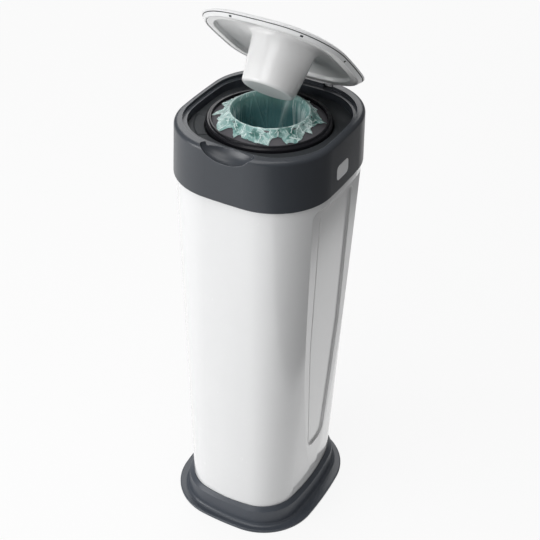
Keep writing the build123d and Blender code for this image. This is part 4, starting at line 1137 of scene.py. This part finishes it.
@dataclass
class PanelLip:
    """The thin raised lip round the sleeve's inner panel, in millimetres.

    cast_from is how far out the search for the sleeve's face starts, in metres.
    """

    top_z: float = 547.0
    half_top: float = 47.2
    half_mid: float = 44.2
    half_low: float = 23.2
    mid_z: float = 321.0
    low_z: float = 111.0
    corner_points: int = 9
    spacing: float = 6.0
    cast_from: float = 0.3
    cuts: tuple[float, ...] = (5.5, 10.0, 19.0, 19.0, 10.0, 5.5)
    profile: tuple[tuple[float, float], ...] = (
        (-1.0, -0.3), (-0.7, 0.3), (-0.25, 0.55), (0.25, 0.55), (0.7, 0.3), (1.0, -0.3))

    def path(self) -> np.ndarray:
        """The line that the lip follows, with rounded corners.

        Returns:
            Y and Z of each point.
        """
        corners = np.array([(-self.half_top, self.top_z), (-self.half_mid, self.mid_z),
                            (-self.half_low, self.low_z), (self.half_low, self.low_z),
                            (self.half_mid, self.mid_z), (self.half_top, self.top_z)])
        line = []
        for index, (corner, cut) in enumerate(zip(corners, self.cuts)):
            before, after = corners[index - 1], corners[(index + 1) % len(corners)]
            start = corner + (before - corner) * cut / np.linalg.norm(before - corner)
            end = corner + (after - corner) * cut / np.linalg.norm(after - corner)
            for share in np.linspace(0, 1, self.corner_points):
                line.append(start * (1 - share) ** 2 + 2 * corner * share * (1 - share)
                            + end * share**2)
        dense = []
        for one, two in zip(line, line[1:] + line[:1]):
            steps = max(1, int(np.linalg.norm(two - one) / self.spacing))
            dense += [one + (two - one) * step / steps for step in range(steps)]
        return np.array(dense)

    def build(self, side: int, material: bpy.types.Material) -> bpy.types.Object:
        """Makes the lip on one side of the sleeve.

        Args:
            side: 1 for the right, -1 for the left.
            material: its material.

        Returns:
            The lip.
        """
        path = self.path()
        along = np.roll(path, -1, axis=0) - np.roll(path, 1, axis=0)
        along /= np.linalg.norm(along, axis=1)[:, None]
        across = np.stack([along[:, 1], -along[:, 0]], -1)
        sleeve = frame["nodes"]["body_shell"]
        rows = []
        for spot, aside in zip(path, across):
            start = Vector((side * self.cast_from, spot[0] * MM, spot[1] * MM))
            hit, place, _, _ = sleeve.ray_cast(start, Vector((-side, 0, 0)))
            if not hit:
                raise ValueError("the lip misses the sleeve")
            for offset, lift in self.profile:
                flat = spot + aside * offset
                rows.append((place.x / MM + side * lift, *flat))
        width = len(self.profile)
        faces = ring_faces(len(path), width)
        keep = faces[faces[:, 0] % width < width - 1]
        last = (len(path) - 1) * width
        seam = [(last + step, last + step + 1, step + 1, step) for step in range(width - 1)]
        name = "panel_lip_right" if side > 0 else "panel_lip_left"
        piece = add_mesh(name, np.array(rows) * MM, np.vstack([keep, seam]), material)
        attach(piece, "bin")
        LOG.info("made %s", piece.name)
        return piece


@dataclass
class ButtonSpring:
    """The coil spring behind the release button, in millimetres."""

    radius: float = 4.4
    wire: float = 0.9
    turns: int = 5
    travel: float = 4.0
    steps: int = 200
    sides: int = 12

    def build(self, material: bpy.types.Material) -> bpy.types.Object:
        """Makes the spring.

        Args:
            material: its material.

        Returns:
            The spring.
        """
        low, high = (np.array(corner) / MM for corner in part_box("button_spring"))
        centre = (low + high) / 2
        reach = high[0] - low[0] - self.wire
        turn = np.linspace(0, 2 * np.pi * self.turns, self.steps + 1)
        ray = np.stack([np.zeros_like(turn), np.cos(turn), np.sin(turn)], -1)
        line = ray * self.radius + (0, centre[1], centre[2])
        line[:, 0] = low[0] + self.wire / 2 + reach * turn / turn[-1]
        along = np.gradient(line, axis=0)
        along /= np.linalg.norm(along, axis=1)[:, None]
        side = np.cross(along, ray)
        around = np.linspace(0, 2 * np.pi, self.sides, endpoint=False)[None, :, None]
        tube = line[:, None] + self.wire / 2 * (
            np.cos(around) * ray[:, None] + np.sin(around) * side[:, None])
        faces = [tuple(face) for face in ring_faces(self.steps + 1, self.sides)]
        faces.append(tuple(range(self.sides))[::-1])
        faces.append(tuple(range(self.steps * self.sides, (self.steps + 1) * self.sides)))
        piece = add_mesh("coil_spring", tube.reshape(-1, 3) * MM, faces, material)
        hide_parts("button_spring")
        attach(piece, "release_button")
        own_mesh(piece)
        LOG.info("made %s", piece.name)
        return piece


@dataclass
class LidLining:
    """The lid's underside and plunger as one soft-edged moulding, in millimetres."""

    edge: BowedOutline = BowedOutline(102.0, 108.6, 77.0, 6.4)
    centre_y: float = -0.6
    plunger_y: float = -3.0
    hinge: tuple[float, float] = (115.0, 648.0)
    open_angle: float = 42.0
    edge_inset: float = 8.4
    band_z: float = 645.6
    band_inset: float = 16.6
    band_step: float = 0.3
    band_round: float = 1.7
    band_height: float = 5.6
    floor_inset: float = 21.0
    root_r: float = 52.0
    floor_z: float = 658.6
    root_round: float = 9.5
    low_r: float = 36.2
    low_z: float = 591.8
    low_round: float = 5.0
    foot_dish: float = 0.35
    foot_r: float = 31.0
    wall: float = 1.2
    columns: int = 720
    slots: tuple[float, ...] = (-155.0, -108.0, -57.0, -16.0, 57.0, 113.0)
    slot_half: float = 1.6
    slot_reach: float = 95.0
    # The slot floors and the seam get dark sheets of painted shade at these insets and heights.
    slot_edges: tuple[tuple[float, float], ...] = ((3.4, 648.0), (5.2, 646.03))
    seam: tuple[tuple[float, float], ...] = ((1.4, 650.15), (2.2, 649.25))

    def rings(self, angle: np.ndarray) -> np.ndarray:
        """The lining's rings in the closed lid, from its edge in to the plunger's foot.

        Args:
            angle: angles, one per column.

        Returns:
            A point for each row and column.
        """
        def level(flat: np.ndarray, z: float | np.ndarray) -> np.ndarray:
            """A ring from its flat points and its height."""
            return np.column_stack([flat, np.broadcast_to(z, angle.shape)])

        def belt(inset: float, z: float) -> np.ndarray:
            """A ring that follows the lid's outline."""
            return level(self.edge.at(angle, inset) + (0, self.centre_y), z)

        def hoop(radius: float, z: float) -> np.ndarray:
            """A round ring about the plunger's axis."""
            flat = np.stack([np.cos(angle), np.sin(angle)], -1) * radius + (0, self.plunger_y)
            return level(flat, z)

        rows = [belt(self.edge_inset + inward, self.band_z + up)
                for inward, up in ((0, 2.6), (0, 0.5), (0.15, 0.15), (0.5, 0))]
        for inset in np.arange(self.edge_inset + 0.8, self.band_inset, self.band_step):
            rows.append(belt(inset, self.band_z))
        for turn in np.radians((20, 45, 70)):
            rows.append(belt(self.band_inset + self.band_round * math.sin(turn),
                             self.band_z + self.band_round * (1 - math.cos(turn))))
        foot_z = self.band_z + self.band_height
        for inset, drop in ((1.9, 1.6), (1.5, 0.7), (0.8, 0.2)):
            rows.append(belt(self.floor_inset - inset, foot_z - drop))
        start, end = belt(self.floor_inset, foot_z), hoop(self.root_r, self.floor_z)
        for share in np.linspace(0, 1, 16):
            ring = start * (1 - share) + end * share
            ring[:, 2] = foot_z + (self.floor_z - foot_z) * math.sin(share * math.pi / 2)
            rows.append(ring)
        mid_z = self.floor_z - self.root_round
        for turn in np.radians(np.arange(8, 88, 8)):
            rows.append(hoop(self.root_r - self.root_round * math.sin(turn),
                             mid_z + self.root_round * math.cos(turn)))
        top_r = self.root_r - self.root_round
        for share in np.linspace(0, 1, 9):
            rows.append(hoop(top_r + (self.low_r - top_r) * share,
                             mid_z + (self.low_z + self.low_round - mid_z) * share))
        for turn in np.radians(np.arange(12, 91, 13)):
            rows.append(hoop(self.low_r - self.low_round * (1 - math.cos(turn)),
                             self.low_z + self.low_round * (1 - math.sin(turn))))
        for radius in (28.0, 20.0, 10.0, 2.0):
            rise = self.foot_dish * (1 - radius / self.foot_r)
            rows.append(hoop(radius, self.low_z + rise))
        return np.array(rows)

    def opened(self, points: np.ndarray) -> np.ndarray:
        """Turns points of the closed lid to where the lid stands.

        Args:
            points: points of the closed lid.

        Returns:
            The turned points.
        """
        turn = math.radians(-self.open_angle)
        away, up = points[..., 1] - self.hinge[0], points[..., 2] - self.hinge[1]
        return np.stack([points[..., 0],
                         self.hinge[0] + away * math.cos(turn) - up * math.sin(turn),
                         self.hinge[1] + away * math.sin(turn) + up * math.cos(turn)], -1)

    def build_seam_shade(self, material: bpy.types.Material) -> bpy.types.Object:
        """Makes a dark sheet of painted shade in the gap between shell and lining and on the floors
        of the snap slots.

        Args:
            material: their material.

        Returns:
            The painted shade.
        """
        angle = np.linspace(0, 2 * np.pi, self.columns, endpoint=False)
        rows, faces = [], []
        for inset, z in self.seam:
            rows += [(*spot, z) for spot in self.edge.at(angle, inset) + (0, self.centre_y)]
        faces += [tuple(face) for face in ring_faces(2, self.columns)]
        for slot in np.radians(self.slots):
            spread = self.slot_half / self.slot_reach
            ends = np.array([slot - spread, slot + spread])
            first = len(rows)
            near, far = (self.edge.at(ends, inset) + (0, self.centre_y)
                         for inset, _ in self.slot_edges)
            heights = [z for _, z in self.slot_edges]
            rows += [(*near[0], heights[0]), (*near[1], heights[0]), (*far[1], heights[1]),
                     (*far[0], heights[1])]
            faces.append((first, first + 1, first + 2, first + 3))
        # A dark sheet of painted shade in the seam's gap and on the slot floors.
        piece = add_mesh("lid_seam_shade", self.opened(np.array(rows)) * MM, faces, material)
        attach(piece, "lid")
        LOG.info("made %s", piece.name)
        return piece

    def build(self, material: bpy.types.Material) -> bpy.types.Object:
        """Makes the lining where the lid stands.

        Args:
            material: its material.

        Returns:
            The lining.
        """
        angle = np.linspace(0, 2 * np.pi, self.columns, endpoint=False)
        points = self.rings(angle)
        placed = self.opened(points)
        rows = len(placed)
        faces = [tuple(f) for f in ring_faces(rows, self.columns)]
        faces.append(tuple(range((rows - 1) * self.columns, rows * self.columns)))
        piece = add_mesh("lid_lining", placed.reshape(-1, 3) * MM, faces, material)
        thick = piece.modifiers.new("thickness", "SOLIDIFY")
        thick.thickness = self.wall * MM
        thick.offset = 1.0
        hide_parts("lid_liner", "plunger")
        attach(piece, "lid")
        LOG.info("made %s", piece.name)
        return piece


@dataclass(frozen=True)
class Lamp:
    """One square soft lamp: where it hangs, its side in metres and its power in watts."""

    name: str
    azimuth: float
    elevation: float
    distance: float
    size: float
    power: float


@dataclass
class Studio:
    """Floor, lamps, world and camera, in metres and degrees."""

    camera_at: Point = (0.6543, -1.2252, 1.3949)
    azimuth: float = 27.905
    elevation: float = 35.679
    roll: float = 1.628
    lens: float = 80.24
    sensor: float = 36.0
    floor_half: float = 6.0
    floor_paint: Colour = (0.8, 0.8, 0.8)
    unlit_paint: Colour = (0.5, 0.5, 0.5)
    unlit_gloss: Colour = (0.1, 0.1, 0.1)
    gloss_near: float = 0.32
    gloss_far: float = 0.42
    white_near: tuple[float, float] = (1.2, 0.88)
    white_far: tuple[float, float] = (4.0, 1.0)
    surround: float = 0.2
    lamps: tuple[Lamp, ...] = (
        Lamp("key", -40, 9, 2.6, 1.3, 33),
        Lamp("front", -6, 44, 2.6, 1.2, 16),
        Lamp("top", -20, 80, 2.4, 1.6, 22),
        Lamp("back", -150, 42, 2.6, 1.6, 22),
    )
    aim_z: float = 0.4

    def floor(self) -> None:
        """A plain white floor that keeps the bin's shadow.

        To the right of the bin it is dark to every ray but the camera's, so the bin's right
        side mirrors a dark room.
        """
        material = bpy.data.materials.new("studio_floor")
        material.use_nodes = True
        material.node_tree.nodes.clear()
        w = Wiring(material.node_tree)
        paint = w.node("ShaderNodeBsdfDiffuse")
        glow = w.node("ShaderNodeEmission")
        glow.inputs["Color"].default_value = (1, 1, 1, 1)
        rays = w.node("ShaderNodeLightPath")
        split = w.node("ShaderNodeSeparateXYZ")
        w.link(w.place(), split.inputs[0])
        lit = w.spread(split.outputs["X"], self.gloss_near, self.gloss_far, 1.0, 0.05)
        shine = w.math("MULTIPLY", rays.outputs["Is Glossy Ray"], lit)
        unseen = w.math("SUBTRACT", 1.0, rays.outputs["Is Camera Ray"])
        unlit = w.math("MULTIPLY", unseen, w.math("SUBTRACT", 1.0, lit))
        dimmed = w.mix(rays.outputs["Is Glossy Ray"], self.unlit_paint, self.unlit_gloss)
        w.link(w.mix(unlit, self.floor_paint, dimmed), paint.inputs["Color"])
        seen = w.math("MAXIMUM", rays.outputs["Is Camera Ray"], shine)
        seen = w.math("MAXIMUM", seen, rays.outputs["Is Transmission Ray"])
        both = w.node("ShaderNodeMixShader")
        far = w.node("ShaderNodeVectorMath", operation="LENGTH")
        w.link(w.place(), far.inputs[0])
        (near_at, near_white), (far_at, far_white) = self.white_near, self.white_far
        share = w.spread(far.outputs["Value"], near_at, far_at, near_white, far_white)
        w.link(w.math("MULTIPLY", seen, share), both.inputs[0])
        w.link(paint.outputs[0], both.inputs[1])
        w.link(glow.outputs[0], both.inputs[2])
        w.link(both.outputs[0], w.node("ShaderNodeOutputMaterial").inputs["Surface"])
        half = self.floor_half
        corners = np.array([(-half, -half, 0), (half, -half, 0), (half, half, 0), (-half, half, 0)])
        add_mesh("studio_floor", corners, np.array([[0, 1, 2, 3]]), material)

    def world(self) -> None:
        """An even pale surround, seen as white."""
        world = bpy.data.worlds.new("studio")
        bpy.context.scene.world = world
        world.use_nodes = True
        world.node_tree.nodes.clear()
        w = Wiring(world.node_tree)
        rays = w.node("ShaderNodeLightPath")
        light = w.node("ShaderNodeBackground")
        light.inputs["Color"].default_value = (1, 1, 1, 1)
        light.inputs["Strength"].default_value = self.surround
        white = w.node("ShaderNodeBackground")
        white.inputs["Color"].default_value = (1, 1, 1, 1)
        white.inputs["Strength"].default_value = 1.0
        seen = w.math("MAXIMUM", rays.outputs["Is Camera Ray"], rays.outputs["Is Transmission Ray"])
        both = w.node("ShaderNodeMixShader")
        w.link(seen, both.inputs[0])
        w.link(light.outputs[0], both.inputs[1])
        w.link(white.outputs[0], both.inputs[2])
        w.link(both.outputs[0], w.node("ShaderNodeOutputWorld").inputs["Surface"])

    def hang(self, lamp: Lamp) -> None:
        """Hangs a lamp that looks at the bin's middle.

        Args:
            lamp: the lamp, its azimuth in degrees from the front towards the right.
        """
        data = bpy.data.lights.new(lamp.name, "AREA")
        data.shape = "SQUARE"
        data.size = lamp.size
        data.energy = lamp.power
        hung = bpy.data.objects.new(lamp.name, data)
        away = self.direction(lamp.azimuth, lamp.elevation)
        hung.location = Vector((0, 0, self.aim_z)) + away * lamp.distance
        hung.rotation_euler = away.to_track_quat("Z", "Y").to_euler()
        bpy.context.scene.collection.objects.link(hung)

    def direction(self, azimuth: float, elevation: float) -> Vector:
        """Finds a direction out from the bin.

        Args:
            azimuth: degrees from the front, towards the right.
            elevation: degrees above the level.

        Returns:
            The direction, one metre long.
        """
        around, up = math.radians(azimuth), math.radians(elevation)
        return Vector((math.sin(around) * math.cos(up), -math.cos(around) * math.cos(up),
                       math.sin(up)))

    def camera(self) -> None:
        """Stands the camera where the photograph was taken from."""
        around = math.radians(self.azimuth)
        back = self.direction(self.azimuth, self.elevation)
        right = Vector((math.cos(around), math.sin(around), 0))
        above = back.cross(right)
        turn = math.radians(self.roll)
        side = right * math.cos(turn) + above * math.sin(turn)
        top = above * math.cos(turn) - right * math.sin(turn)
        data = bpy.data.cameras.new("camera")
        data.lens = self.lens
        data.sensor_width = self.sensor
        data.clip_start = 0.01
        camera = bpy.data.objects.new("camera", data)
        matrix = Matrix((side, top, back)).transposed().to_4x4()
        matrix.translation = Vector(self.camera_at)
        camera.matrix_world = matrix
        bpy.context.scene.collection.objects.link(camera)
        bpy.context.scene.camera = camera

    def set_up(self) -> None:
        """Builds the whole studio."""
        bpy.context.scene.view_settings.view_transform = "Standard"
        self.floor()
        self.world()
        for lamp in self.lamps:
            self.hang(lamp)
        self.camera()
        LOG.info("studio is ready")


def main() -> None:
    """Builds the bin's looks round the CAD frame."""
    logging.basicConfig(level=logging.INFO, format="%(name)s: %(message)s")
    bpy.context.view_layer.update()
    effects = Effects()
    shop = PaintShop(effects)
    cassette = Cassette()
    film = shop.film(FilmFinish(), (0.0, cassette.axis_y * MM), cassette.crest_z * MM,
                     cassette.crest_r * MM)
    shop.dress_frame(film)
    cassette.build_film(film)
    cassette.build_pleats(film)
    DeckDish().build(bpy.data.materials["deck_black"])
    lining = LidLining()
    lining.build(bpy.data.materials["lid_white"])
    lining.build_seam_shade(bpy.data.materials["deck_black"])
    ButtonSpring().build(bpy.data.materials["spring_steel"])
    for side in (1, -1):
        PanelLip().build(side, bpy.data.materials["sleeve_white"])
    Studio().set_up()


if __name__ == "__main__":
    main()
